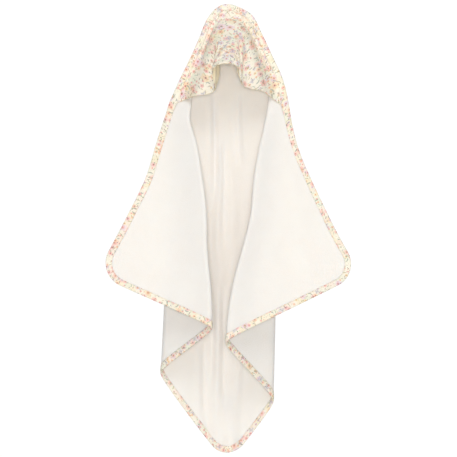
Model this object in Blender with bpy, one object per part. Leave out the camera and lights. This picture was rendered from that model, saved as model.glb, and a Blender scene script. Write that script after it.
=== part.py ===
"""Hooded baby towel, hanging open from the top of its hood.

One square of terry with rounded corners, a lined print hood over one corner, a
print binding round the whole edge, its two seam threads, the thread along the
hood's front edge and a care label.  Metres, +Z up, the front of the towel
faces -Y, and the top of the hood is the origin.

The cloth is one smooth map from the flat square (a, b) to space.  a and b run
from the hood tip along the left and the right side.  It hangs in seven lines
below the hood: the two side edges, two folds on each side and the spine.
"""
import math

import bmesh
import bpy
import numpy as np
from mathutils import Vector
from mathutils.geometry import delaunay_2d_cdt

for old in list(bpy.data.objects):
    bpy.data.objects.remove(old, do_unlink=True)

# ---------------------------------------------------------------- driving dimensions (metres)
SIDE = 0.750            # the square before it is hung
CORNER_R = 0.060        # every corner is rounded, the hood tip too
HOOD_LEG = 0.300        # hood triangle, measured along each side from the tip
R2 = 2.0 ** 0.5
TIP_D = CORNER_R * (R2 - 1.0)              # rounded tip: distance of the edge from the sharp tip
HOOD_D = HOOD_LEG / R2                     # sharp tip to hood line
ARC = CORNER_R * np.pi / 2
Q_HOOD = ARC / 2 + HOOD_LEG - CORNER_R     # edge length, tip to hood end

# edge of the hood on each side: (edge length from tip, x, y, z)
HOOD_LEFT = [(0.000, -0.002, 0.000, 0.000), (0.010, -0.0118, 0.000, -0.0011), (0.0265, -0.0265, 0.000, -0.009), (0.0595, -0.047, -0.001, -0.033),
             (0.110, -0.066, -0.004, -0.078), (0.171, -0.090, -0.010, -0.132), (0.226, -0.113, -0.017, -0.179),
             (0.2871, -0.137, -0.025, -0.236)]
HOOD_RIGHT = [(0.000, -0.002, 0.000, 0.000), (0.010, 0.0078, 0.000, -0.0007), (0.0265, 0.0235, 0.000, -0.006), (0.0595, 0.053, -0.001, -0.023),
              (0.110, 0.078, -0.004, -0.068), (0.171, 0.104, -0.010, -0.124), (0.226, 0.127, -0.017, -0.175),
              (0.2871, 0.1416, -0.025, -0.238)]
# centre strip of the towel inside the hood and of the hood panel: (distance from the rounded tip, x, y, z)
NAPE = [(0.0, -0.002, 0.000, 0.000), (0.0058, -0.002, 0.001, -0.006), (0.0263, -0.001, 0.007, -0.0255), (0.0621, 0.001, 0.024, -0.057),
        (0.1052, 0.001, 0.048, -0.093), (0.144, 0.000, 0.062, -0.130), (0.1872, 0.000, 0.064, -0.174)]
BROW = [(0.0, -0.002, 0.000, 0.000), (0.0058, -0.002, -0.001, -0.006), (0.0263, -0.001, -0.010, -0.0245), (0.0621, 0.001, -0.031, -0.053),
        (0.1052, 0.001, -0.061, -0.084), (0.144, -0.003, -0.088, -0.112), (0.1872, -0.006, -0.115, -0.1425)]
# front edge of the hood: (length along the edge, x, y, z)
BRIM = [(0.000, -0.137, -0.025, -0.236), (0.060, -0.085, -0.064, -0.2195), (0.118, -0.0354, -0.086, -0.211),
        (0.186, -0.031, -0.107, -0.149), (0.2122, -0.006, -0.115, -0.1425), (0.238, 0.0165, -0.112, -0.1465),
        (0.270, 0.028, -0.102, -0.1735), (0.299, 0.0354, -0.090, -0.198), (0.353, 0.080, -0.066, -0.2065),
        (0.4243, 0.1416, -0.025, -0.238)]
# lines the towel hangs in below the hood: (x, y, z) from the hood line to the edge
EDGE_L = [(-0.137, -0.025, -0.236), (-0.167, -0.036, -0.328), (-0.191, -0.046, -0.408), (-0.224, -0.056, -0.479),
          (-0.259, -0.066, -0.547), (-0.2795, -0.070, -0.586)]
FOLD1_L = [(-0.085, -0.031, -0.2266), (-0.0885, -0.046, -0.267), (-0.073, -0.066, -0.328), (-0.061, -0.078, -0.399),
           (-0.050, -0.088, -0.493), (-0.048, -0.096, -0.581), (-0.038, -0.106, -0.699), (-0.038, -0.110, -0.762)]
FOLD2_L = [(-0.118, -0.012, -0.214), (-0.134, -0.010, -0.330), (-0.144, -0.008, -0.480), (-0.151, -0.006, -0.703), (-0.159, -0.004, -0.872)]
SPINE = [(0.000, 0.064, -0.174), (0.000, 0.056, -0.300), (0.000, 0.050, -0.480), (-0.001, 0.046, -0.700), (-0.002, 0.040, -0.900), (-0.002, 0.036, -1.0640)]
FOLD2_R = [(0.120, -0.012, -0.218), (0.117, -0.008, -0.400), (0.112, -0.006, -0.734), (0.107, -0.004, -0.939)]
FOLD1_R = [(0.0944, -0.031, -0.2336), (0.083, -0.046, -0.290), (0.071, -0.062, -0.345), (0.059, -0.076, -0.422),
           (0.052, -0.086, -0.503), (0.035, -0.096, -0.573), (0.012, -0.106, -0.658), (-0.002, -0.114, -0.746), (-0.005, -0.118, -0.795)]
EDGE_R = [(0.1416, -0.025, -0.238), (0.163, -0.036, -0.338), (0.194, -0.048, -0.415), (0.224, -0.058, -0.479),
          (0.262, -0.070, -0.555), (0.2795, -0.074, -0.586)]

TERRY_HALF = 0.0015     # half thickness of the terry
HEM_HALF = 0.0012       # pressed thinner under the binding
GAP = 0.0004            # between neighbouring plies
LINING_T = 0.0016
PRINT_T = 0.0006
BINDING_W = 0.0125      # covers this much of each face
BINDING_T = 0.0008
THREAD_IN = 0.0105      # seam line, from the edge
THREAD_W = 0.0009
THREAD_T = 0.0005
THREAD_GAP = 0.0010
HOOD_SEAM_IN = 0.005    # seam line, from the hood's front edge
LABEL_W = 0.030
LABEL_L = 0.042
LABEL_T = 0.0006
LABEL_TOP = -0.925      # height of the label's sewn edge, on the back of the towel
LABEL_CLEAR = 0.0016    # the label's pin line stands this far off the terry

FOLD_AT_HOOD = (0.0, 0.0566, 0.0919, 0.2122, 0.3324, 0.3705, 0.4243)      # along the hood line
FOLD_AT_HEM = (0.0, 0.3382, 0.5312, 0.7713, 0.9284, 1.1334, 1.5425)       # along the hem, corner to corner
FOLD_SOFT = (0.015, 0.015, 0.060, 0.015, 0.015)                            # rounding of the bend at each line
FOLD_GAP = (0.0088, 0.0088, 0.0, -0.0088, -0.0088)                         # how far each fold's leaves are held apart
PLEATS = ((0.430, 0.085, 0.0065), (0.475, 0.090, -0.0045), (0.515, 0.105, 0.0060), (0.570, 0.120, -0.0045))
WAVES = ((0.075, 0.5, 0.0045), (0.135, 0.9, -0.0040), (0.905, 0.6, 0.0045), (0.955, 1.1, -0.0040))


def spline(keys, t):
    """smooth curve through keyed points, keys = rows (t, values...)"""
    k = np.asarray(keys, float)
    s, p = k[:, 0], k[:, 1:]
    t = np.clip(np.asarray(t, float), s[0], s[-1])
    m = np.zeros_like(p)
    h = np.diff(s)[:, None]
    d = np.diff(p, axis=0) / h
    m[1:-1] = (h[1:] * d[:-1] + h[:-1] * d[1:]) / (h[1:] + h[:-1])
    m[0], m[-1] = d[0] * 1.5 - m[1] * 0.5, d[-1] * 1.5 - m[-2] * 0.5
    i = np.clip(np.searchsorted(s, t, side='right') - 1, 0, len(s) - 2)
    w = ((t - s[i]) / (s[i + 1] - s[i]))[..., None]
    hh = (s[i + 1] - s[i])[..., None]
    return ((1 + 2 * w) * (1 - w) ** 2 * p[i] + w * (1 - w) ** 2 * hh * m[i]
            + w * w * (3 - 2 * w) * p[i + 1] + w * w * (w - 1) * hh * m[i + 1])


def by_length(points):
    p = np.asarray(points, float)
    s = np.concatenate([[0], np.cumsum(np.linalg.norm(np.diff(p, axis=0), axis=1))])
    return np.column_stack([s / s[-1], p])


def ease(lo, hi, x):
    t = np.clip((x - lo) / (hi - lo), 0, 1)
    return t * t * (3 - 2 * t)


V_K = np.array(FOLD_AT_HOOD) / FOLD_AT_HOOD[-1]
GUIDES = [by_length(g) for g in (EDGE_L, FOLD1_L, FOLD2_L, SPINE, FOLD2_R, FOLD1_R, EDGE_R)]
STRAIGHT = SIDE - 2 * CORNER_R
HEM_LENGTH = 3 * ARC + 2 * STRAIGHT


def hem(s):
    """flat point of the hem, s from the start of the left corner to the end of the right one"""
    s = np.asarray(s, float)
    L, r = SIDE, CORNER_R
    s0, s1, s2, s3 = ARC, ARC + STRAIGHT, 2 * ARC + STRAIGHT, 2 * ARC + 2 * STRAIGHT
    t0, t1, t2 = np.clip(s, 0, s0) / r, (np.clip(s, s1, s2) - s1) / r, np.maximum(s - s3, 0) / r
    a = np.select([s < s0, s < s1, s < s2, s < s3],
                  [L - r + r * np.sin(t0), np.full_like(s, L), L - r + r * np.cos(t1), L - r - (s - s2)], r - r * np.sin(t2))
    b = np.select([s < s0, s < s1, s < s2, s < s3],
                  [r - r * np.cos(t0), r + s - s0, L - r + r * np.sin(t1), np.full_like(s, L)], L - r + r * np.cos(t2))
    return a, b


def flat_ruled(v, t):
    hu = (v * 2 - 1) * HOOD_D
    oa, ob = hem(np.interp(v, V_K, FOLD_AT_HEM))
    return (1 - t) * (HOOD_D - hu) / R2 + t * oa, (1 - t) * (HOOD_D + hu) / R2 + t * ob


def lower(v, t):
    """point of the towel below the hood line; v runs left to right, t from the hood line to the hem"""
    v, t = np.broadcast_arrays(np.clip(v, 0.0, 1.0), np.clip(t, 0.0, 1.0))
    K = len(GUIDES)
    P = np.stack([spline(g, t) for g in GUIDES], axis=-2)
    dt = 0.004
    t0, t1 = np.clip(t - dt, 0, 1), np.clip(t + dt, 0, 1)
    dP = np.stack([(spline(g, t1) - spline(g, t0)) / (t1 - t0)[..., None] for g in GUIDES], axis=-2)
    F = np.stack([np.stack(flat_ruled(np.full_like(t, vk), t), -1) for vk in V_K], axis=-2)
    dF = np.stack([np.stack(flat_ruled(np.full_like(t, vk), 1.0), -1) - np.stack(flat_ruled(np.full_like(t, vk), 0.0), -1)
                   for vk in V_K], axis=-2)
    seg = np.linalg.norm(np.diff(F, axis=-2), axis=-1)
    L = np.concatenate([np.zeros(seg.shape[:-1] + (1,)), np.cumsum(seg, -1)], -1)
    i = np.clip(np.searchsorted(V_K, v, side='right') - 1, 0, K - 2)
    w = (v - V_K[i]) / (V_K[i + 1] - V_K[i])
    take = lambda arr, k: np.take_along_axis(arr, k[..., None], -1)[..., 0]
    l = take(L, i) * (1 - w) + take(L, i + 1) * w
    PF = np.concatenate([P, F], -1)
    slope = np.diff(PF, axis=-2) / seg[..., None]
    eps = np.array(FOLD_SOFT)
    comp = PF.copy()
    comp[..., 1:-1, :] -= 0.5 * np.diff(slope, axis=-2) * eps[:, None] * np.array([1.0, 0.0, 1.0, 1.0, 1.0])
    slope = np.diff(comp, axis=-2) / seg[..., None]
    ds = np.diff(slope, axis=-2)
    base = lambda x: 0.5 * np.einsum('...k,...kc->...c', np.sqrt((x[..., None] - L[..., 1:-1]) ** 2 + eps * eps), ds)
    f0, f1 = base(np.zeros_like(l)), base(L[..., -1])
    u = (l / L[..., -1])[..., None]
    out = base(l) + (comp[..., 0, :] - f0) * (1 - u) + (comp[..., -1, :] - f1) * u
    out, chord = out[..., :3], out[..., 3:]
    slope = np.diff(P, axis=-2) / seg[..., None]
    d = l[..., None] - L[..., 1:-1]
    out[..., 1] += np.einsum('...k,k->...', np.tanh(d / 0.009) * np.exp(-(d / 0.05) ** 2), np.array(FOLD_GAP))
    # the outline between two lines isn't straight where a corner is rounded
    A, B = flat_ruled(v, t)
    dev = np.stack([A, B], -1) - chord
    step = [np.ones_like(l)] + [ease(-r, r, l - L[..., k]) for k, r in ((1, 0.02), (2, 0.02), (3, 0.06), (4, 0.02), (5, 0.02))]
    for k in range(K - 1):                                        # each line's two sides share one slope near it
        share = step[k] - (step[k + 1] if k + 1 < K - 1 else 0.0)
        wk = np.clip((l - L[..., k]) / seg[..., k], 0, 1)[..., None]
        el = (F[..., k + 1, :] - F[..., k, :]) / seg[..., k][..., None]
        gt = dF[..., k, :] * (1 - wk) + dF[..., k + 1, :] * wk
        gl = np.linalg.norm(gt, axis=-1)[..., None]
        et = gt / gl
        det = el[..., 0] * et[..., 1] - el[..., 1] * et[..., 0]
        cl = (dev[..., 0] * et[..., 1] - dev[..., 1] * et[..., 0]) / det * share
        ct = (el[..., 0] * dev[..., 1] - el[..., 1] * dev[..., 0]) / det * share
        dpt = (dP[..., k, :] * (1 - wk) + dP[..., k + 1, :] * wk) / gl
        out += cl[..., None] * slope[..., k, :] + ct[..., None] * dpt
    for (rows, width, lo, hi) in ((PLEATS, 0.017, -0.2, 0.5), (WAVES, 0.036, 0.15, 0.8)):
        for at, _, deep in rows:
            j = int(np.searchsorted(V_K, at) - 1)
            g = (at - V_K[j]) / (V_K[j + 1] - V_K[j])
            here = L[..., j] * (1 - g) + L[..., j + 1] * g
            out[..., 1] += deep * np.exp(-((l - here) / width) ** 2) * ease(lo, hi, t)
    return out


def upper(u, d, front):
    """point of the towel (front False) or of the hood panel (front True) above the hood line"""
    r = CORNER_R
    d = np.maximum(d, TIP_D + 1e-6)
    on_arc = d < r / R2
    th = np.arccos(np.clip((R2 * r - d) / r, -1, 1))
    q = np.where(on_arc, r * th, ARC / 2 + (d - r / R2) * R2)
    w = np.where(on_arc, r * np.sin(th), d)
    v = np.clip((u / np.maximum(w, 1e-6) + 1) / 2, 0, 1)
    PL, PR = spline(HOOD_LEFT, q), spline(HOOD_RIGHT, q)
    C = spline(BROW if front else NAPE, d - TIP_D)
    psi = (v - 0.5)[..., None] * np.pi
    mid, H = (PL + PR) / 2, (PR - PL) / 2
    arc = mid + H * np.sin(psi) + (C - mid) * np.cos(psi)
    if not front:
        q1 = np.full_like(q, Q_HOOD)
        PL1, PR1 = spline(HOOD_LEFT, q1), spline(HOOD_RIGHT, q1)
        C1 = spline(NAPE, np.full_like(d, HOOD_D - TIP_D))
        m1, H1 = (PL1 + PR1) / 2, (PR1 - PL1) / 2
        arc1 = m1 + H1 * np.sin(psi) + (C1 - m1) * np.cos(psi)
        return arc + (lower(v, np.zeros_like(v)) - arc1) * ease(0.10, Q_HOOD, q)[..., None]
    E = spline(BRIM, v * BRIM[-1][0])
    E0, E1, EC = np.array(BRIM[0][1:]), np.array(BRIM[-1][1:]), spline(BROW, np.full_like(d, HOOD_D - TIP_D))
    mE, HE = (E0 + E1) / 2, (E1 - E0) / 2
    ex = (E[..., 0] - mE[0]) / HE[0]
    res = E - mE - ex[..., None] * HE
    k = (C - mid) / (EC - mE)
    brim = mid + ex[..., None] * H + res * np.stack([np.zeros_like(v), k[..., 1], k[..., 2]], -1)
    return arc + (brim - arc) * ease(0.08, 0.25, q)[..., None]


def edge_foot(a, b):
    """distance from the outer edge, and where along the hood's edge the nearest edge point is"""
    r = CORNER_R
    left = b <= a
    p = np.minimum(a, b)
    along = np.maximum(a, b)
    tip = (a < r) & (b < r)
    rad = np.hypot(a - r, b - r)
    p = np.where(tip, r - rad, p)
    ang = np.arctan2(np.abs(a - b) / R2, (2 * r - a - b) / R2)
    q = np.where(tip, r * np.clip(ang, 0, np.pi / 4), ARC / 2 + along - r)
    return p, q, left


def fin(a, b):
    """the flat seam margin that stands on the hood's outline"""
    p, q, left = edge_foot(a, b)
    dq = 0.002
    out = np.zeros(a.shape + (3,))
    for keys, side, sel in ((HOOD_LEFT, 1.0, left), (HOOD_RIGHT, -1.0, ~left)):
        E = spline(keys, q)
        T = spline(keys, q + dq) - spline(keys, q - dq)
        I = np.stack([-T[..., 2], np.zeros_like(q), T[..., 0]], -1) * side
        I /= np.maximum(np.linalg.norm(I, axis=-1), 1e-9)[..., None]
        out = np.where(sel[..., None], E + I * p[..., None], out)
    return out, p, q


def invert(a, b):
    """(v, t) of a flat point below the hood line"""
    lo, hi = np.zeros_like(a), np.ones_like(a)
    for _ in range(34):
        m = (lo + hi) / 2
        hu = (m * 2 - 1) * HOOD_D
        ha, hb = (HOOD_D - hu) / R2, (HOOD_D + hu) / R2
        oa, ob = hem(np.interp(m, V_K, FOLD_AT_HEM))
        c = (oa - ha) * (b - hb) - (ob - hb) * (a - ha)
        right = c > 0
        lo, hi = np.where(right, m, lo), np.where(right, hi, m)
    v = (lo + hi) / 2
    hu = (v * 2 - 1) * HOOD_D
    ha, hb = (HOOD_D - hu) / R2, (HOOD_D + hu) / R2
    oa, ob = hem(np.interp(v, V_K, FOLD_AT_HEM))
    t = ((a - ha) * (oa - ha) + (b - hb) * (ob - hb)) / ((oa - ha) ** 2 + (ob - hb) ** 2)
    return v, t


def towel(a, b):
    """middle surface of the hanging towel at the flat point (a, b)"""
    a, b = np.atleast_1d(np.asarray(a, float)), np.atleast_1d(np.asarray(b, float))
    d, u = (a + b) / R2, (b - a) / R2
    out = np.zeros(a.shape + (3,))
    up = d < HOOD_D
    if up.any():
        s = upper(u[up], d[up], False)
        f, p, q = fin(a[up], b[up])
        k = (1 - ease(0.018, 0.062, p)) * (1 - ease(Q_HOOD - 0.05, Q_HOOD - 0.004, q))
        out[up] = s + (f - s) * k[..., None]
    if (~up).any():
        v, t = invert(a[~up], b[~up])
        out[~up] = lower(v, t)
    return out


def normals(f, a, b, h=0.0015):
    """unit normal, towards the inside face of the towel"""
    a, b = np.atleast_1d(np.asarray(a, float)), np.atleast_1d(np.asarray(b, float))
    ca, cb = np.clip(a, CORNER_R, SIDE - CORNER_R), np.clip(b, CORNER_R, SIDE - CORNER_R)
    far = np.hypot(a - ca, b - cb)
    k = np.minimum(1.0, (CORNER_R - 2.2 * h) / np.maximum(far, 1e-9))
    ca, cb = ca + (a - ca) * k, cb + (b - cb) * k
    n = np.cross(f(ca + h, cb) - f(ca - h, cb), f(ca, cb + h) - f(ca, cb - h))
    return n / np.linalg.norm(n, axis=-1)[..., None]


LIFT = HEM_HALF + GAP + LINING_T + GAP / 2        # hood's middle surface above the towel's


def half(p):
    return HEM_HALF + (TERRY_HALF - HEM_HALF) * ease(0.014, 0.034, p)


def hood(a, b):
    """middle surface of the hood, between its lining and its print"""
    a, b = np.atleast_1d(np.asarray(a, float)), np.atleast_1d(np.asarray(b, float))
    d, u = (a + b) / R2, (b - a) / R2
    s = upper(u, d, True)
    p, q, left = edge_foot(a, b)
    n = normals(towel, a, b)
    k = ease(0.0128, 0.050, p)[..., None]
    return (towel(a, b) + n * LIFT) * (1 - k) + s * k


def outline(s):
    """flat point on the edge and the unit step inwards; s runs left from the tip, all the way round"""
    s = np.atleast_1d(np.asarray(s, float))
    r, L = CORNER_R, SIDE
    total = 2 * (ARC / 2 + STRAIGHT) + HEM_LENGTH
    s = np.mod(s, total)
    e0, e1, e2, e3 = ARC / 2, ARC / 2 + STRAIGHT, ARC / 2 + STRAIGHT + HEM_LENGTH, ARC / 2 + 2 * STRAIGHT + HEM_LENGTH
    ang0, ang1 = np.pi * 1.25 + np.minimum(s, e0) / r, np.pi + np.maximum(s - e3, 0) / r
    ha, hb = hem(np.clip(s - e1, 0, HEM_LENGTH))
    a = np.select([s < e0, s < e1, s < e2, s < e3], [r + r * np.cos(ang0), r + s - e0, ha, np.zeros_like(s)], r + r * np.cos(ang1))
    b = np.select([s < e0, s < e1, s < e2, s < e3], [r + r * np.sin(ang0), np.zeros_like(s), hb, L - r - (s - e2)], r + r * np.sin(ang1))
    ca, cb = np.clip(a, r, L - r), np.clip(b, r, L - r)
    return a, b, (ca - a) / r, (cb - b) / r


PERIMETER = 2 * (ARC / 2 + STRAIGHT) + HEM_LENGTH


def stations(curve, lo, hi, longest, turn, must=()):
    """places along a curve: no step longer than `longest`, nor turning more than `turn`"""
    n = int((hi - lo) / 0.0008)
    s = np.linspace(lo, hi, n)
    p = curve(s)
    t = np.diff(p, axis=0)
    t /= np.linalg.norm(t, axis=1)[:, None]
    bend = np.concatenate([[0], np.arccos(np.clip((t[1:] * t[:-1]).sum(1), -1, 1)), [0]])
    out, run, since = [0], 0.0, 0.0
    must = [int(round((m - lo) / (hi - lo) * (n - 1))) for m in must]
    for i in range(1, n):
        run += bend[i]
        since += s[1] - s[0]
        near = any(0 < m - i < 4 for m in must)
        if i in must or ((since >= longest or run >= turn) and not near):
            out.append(i)
            run = since = 0.0
    if n - 1 - out[-1] < 4:
        out.pop()
    out.append(n - 1)
    return s[np.array(out)]


def edge_point(s, p=0.0):
    a, b, na, nb = outline(s)
    return towel(a + na * p, b + nb * p)


def make(name, verts, faces, colour, rough, sheen=0.0):
    me = bpy.data.meshes.new(name)
    me.from_pydata([tuple(map(float, p)) for p in verts], [], [tuple(map(int, f)) for f in faces])
    me.update()
    bm = bmesh.new()
    bm.from_mesh(me)
    bmesh.ops.recalc_face_normals(bm, faces=bm.faces)
    if bm.calc_volume(signed=True) < 0:
        bmesh.ops.reverse_faces(bm, faces=bm.faces)
    bm.to_mesh(me)
    bm.free()
    ob = bpy.data.objects.new(name, me)
    bpy.context.scene.collection.objects.link(ob)
    mat = bpy.data.materials.new(name)
    mat.use_nodes = True
    bsdf = mat.node_tree.nodes["Principled BSDF"]
    bsdf.inputs["Base Color"].default_value = (*colour, 1.0)
    bsdf.inputs["Roughness"].default_value = rough
    bsdf.inputs["Metallic"].default_value = 0.0
    bsdf.inputs["Sheen Weight"].default_value = sheen
    me.materials.append(mat)
    return ob


def triangulate(points, loops, chains):
    """constrained triangulation in the flat; the first loop is the outside"""
    edges = []
    chains = list(chains)
    for loop in loops:
        edges += [(loop[i], loop[(i + 1) % len(loop)]) for i in range(len(loop))]
    for c in chains:
        edges += [(c[i], c[i + 1]) for i in range(len(c) - 1)]
    out = delaunay_2d_cdt([Vector((float(p[0]), float(p[1]))) for p in points], edges, [], 1, 1e-7)
    xy = np.array([tuple(v) for v in out[0]])
    back = out[3]
    index = {}
    for new, olds in enumerate(back):
        for o in olds:
            index[o] = new
    return xy, [tuple(f) for f in out[2]], [index[i] for i in loops[0]]


def shell(top, bottom, faces, rim):
    """closed solid between two faces of the same cloth"""
    n = len(top)
    verts = np.concatenate([top, bottom])
    f = [tuple(t) for t in faces] + [tuple(i + n for i in reversed(t)) for t in faces]
    for i in range(len(rim)):
        p, q = rim[i], rim[(i + 1) % len(rim)]
        f.append((p, q, q + n, p + n))
    return verts, f


# ------------------------------------------------------------------ where the edge is sampled
NEAR_END = (-0.040, -0.024, -BINDING_W, 0.0, 0.010, 0.022, 0.034)
S = stations(edge_point, 0.0, PERIMETER, 0.024, math.radians(11),
             must=[Q_HOOD + o for o in NEAR_END] + [PERIMETER - Q_HOOD - o for o in NEAR_END])[:-1]
NS = len(S)
EA, EB, NA, NB = outline(S)
STRIP = (0.0, BINDING_W)

# ------------------------------------------------------------------ terry body
FOLD_STEPS = (-0.020, -0.010, -0.004, 0.004, 0.010, 0.020)
ROWS_DOWN = 19
LIMIT = BINDING_W + 0.006


def row_points(t):
    """flat points across the towel on one row below the hood line"""
    F = np.stack([np.stack(flat_ruled(np.array([vk]), np.array([t])), -1)[0] for vk in V_K])
    L = np.concatenate([[0], np.cumsum(np.linalg.norm(np.diff(F, axis=0), axis=1))])
    cols = []
    folds = [1, 2, 4, 5]
    for k in folds:
        cols += [(("f", k, j), L[k] + o) for j, o in enumerate(FOLD_STEPS)]
    spans = [(0, 1, 4), (2, 4, 7), (5, 6, 4), (1, 2, 2), (4, 5, 2)]
    for i, j, n in spans:
        lo = L[i] + (0.022 if i else 0.0)
        hi = L[j] - (0.022 if j < 6 else 0.0)
        for m in range(1, n + 1):
            if hi - lo > 0.03 * n * 0.4:
                cols.append((("s", i, m), lo + (hi - lo) * m / (n + 1)))
    l = np.array([c[1] for c in cols])
    v = np.interp(l, L, V_K)
    a, b = flat_ruled(v, np.full_like(v, t))
    return [c[0] for c in cols], a, b


def body_mesh():
    pts, loops, chains = [], [], {}
    for p in STRIP:
        loops.append(list(range(len(pts), len(pts) + NS)))
        pts += list(zip(EA + NA * p, EB + NB * p))
    rows = []
    for r in range(ROWS_DOWN):
        t = (r + 0.35) / (ROWS_DOWN - 0.15)
        rows.append(row_points(t))
    up = []
    for q in (0.065, 0.10, 0.135, 0.17, 0.205, 0.24, 0.272):
        d = CORNER_R / R2 + (q - ARC / 2) / R2
        keys = [("u", m) for m in range(9)] + [("f", k, j) for k in (1, 2, 4, 5) for j in range(6) if q > 0.2]
        v = [0.10 + 0.80 * m / 8 for m in range(9)] if q <= 0.2 else [0.30 + 0.40 * m / 8 for m in range(9)]
        v += [V_K[k] + FOLD_STEPS[j] * (1 if k in (1, 5) else 1) / (2 * d) for k in (1, 2, 4, 5) for j in range(6) if q > 0.2]
        u = (np.array(v) * 2 - 1) * d
        up.append((keys, (d * R2 - u * R2) / 2, (d * R2 + u * R2) / 2))
    for keys, a, b in up + rows:
        ca, cb = np.clip(a, CORNER_R, SIDE - CORNER_R), np.clip(b, CORNER_R, SIDE - CORNER_R)
        inside = CORNER_R - np.hypot(a - ca, b - cb)
        edge = np.where((a == ca) & (b == cb), np.minimum.reduce([a, b, SIDE - a, SIDE - b]), inside)
        seen = []
        for key, x, y, e in zip(keys, a, b, edge):
            if e < LIMIT:
                continue
            if any((x - sx) ** 2 + (y - sy) ** 2 < 0.0032 ** 2 for sx, sy in seen):
                continue
            seen.append((x, y))
            if key[0] == "f":
                chains.setdefault(key, []).append(len(pts))
            pts.append((x, y))
    cross = [(loops[0][i], loops[1][(i + 1) % NS]) for i in range(NS)] + [(loops[0][i], loops[1][i]) for i in range(NS)]
    xy, faces, rim = triangulate(pts, loops, cross)
    a, b = xy[:, 0], xy[:, 1]
    m, n = towel(a, b), normals(towel, a, b)
    ca, cb = np.clip(a, CORNER_R, SIDE - CORNER_R), np.clip(b, CORNER_R, SIDE - CORNER_R)
    p = np.where((a == ca) & (b == cb), np.minimum.reduce([a, b, SIDE - a, SIDE - b]), CORNER_R - np.hypot(a - ca, b - cb))
    h = half(p)[:, None]
    return shell(m + n * h, m - n * h, faces, rim)


TERRY = (0.955, 0.930, 0.880)
body = make("terry_body", *body_mesh(), TERRY, 0.95, 0.4)

# ------------------------------------------------------------------ edge binding and its two threads
def rise(s):
    """extra height of the stack of plies, where the hood is sewn in"""
    d = np.minimum(s, PERIMETER - s)
    return 1 - ease(Q_HOOD + 0.003, Q_HOOD + 0.028, d)


def ring(sections, closed=True, outward=()):
    """closed tube through equal sections; quads are split from the edge side to the inner side"""
    k, m = len(sections), len(sections[0])
    verts = np.concatenate(sections)
    faces = []
    for i in range(k if closed else k - 1):
        j = (i + 1) % k
        for c in range(m):
            e = (c + 1) % m
            q = (i * m + c, i * m + e, j * m + e, j * m + c)
            if c in outward:
                faces += [(q[0], q[1], q[2]), (q[0], q[2], q[3])]
            else:
                faces += [(q[0], q[1], q[3]), (q[1], q[2], q[3])]
    if not closed:
        faces += [tuple(range(m)), tuple(reversed(range((k - 1) * m, k * m)))]
    return verts, faces


def edge_frame(p):
    a, b = EA + NA * p, EB + NB * p
    return towel(a, b), normals(towel, a, b)


FR = [edge_frame(p) for p in STRIP]
OUTW = FR[0][0] - FR[1][0]
OUTW /= np.linalg.norm(OUTW, axis=1)[:, None]
TOP_IN = HEM_HALF + GAP + rise(S) * (LINING_T + GAP + PRINT_T + GAP)
BOT_IN = HEM_HALF + GAP
secs = []
for i in range(NS):
    m = [f[0][i] for f in FR]
    n = [f[1][i] for f in FR]
    ti, bi, o = TOP_IN[i], BOT_IN, OUTW[i]
    to, bo = ti + BINDING_T, bi + BINDING_T
    cen = (ti - bi) / 2
    secs.append(np.array([
        m[1] + n[1] * to, m[0] + n[0] * to, m[0] + o * (GAP + BINDING_T + 0.0006) + n[0] * cen,
        m[0] - n[0] * bo, m[1] - n[1] * bo, m[1] - n[1] * bi, m[0] - n[0] * bi + o * GAP,
        m[0] + n[0] * ti + o * GAP, m[1] + n[1] * ti]))
PRINT = (0.93, 0.84, 0.74)
binding = make("edge_binding", *ring(secs, outward=(3, 7)), PRINT, 0.85, 0.2)


def thread(name, side):
    k, k2 = THREAD_IN / BINDING_W, (THREAD_IN - THREAD_W) / BINDING_W
    m, n = [FR[0][j] + (FR[1][j] - FR[0][j]) * k for j in (0, 1)]
    m2, n2 = [FR[0][j] + (FR[1][j] - FR[0][j]) * k2 for j in (0, 1)]
    base = (TOP_IN if side > 0 else BOT_IN) + BINDING_T + THREAD_GAP
    base = np.broadcast_to(np.atleast_1d(base), (NS,))[:, None]
    s = [np.array([m[i] + side * n[i] * base[i], (m[i] + m2[i]) / 2 + side * n[i] * (base[i] + THREAD_T),
                   m2[i] + side * n2[i] * base[i]]) for i in range(NS)]
    return make(name, *ring(s), (0.95, 0.93, 0.88), 0.6, 0.1)


thread("edge_stitch_front", 1.0)
thread("edge_stitch_back", -1.0)

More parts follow.
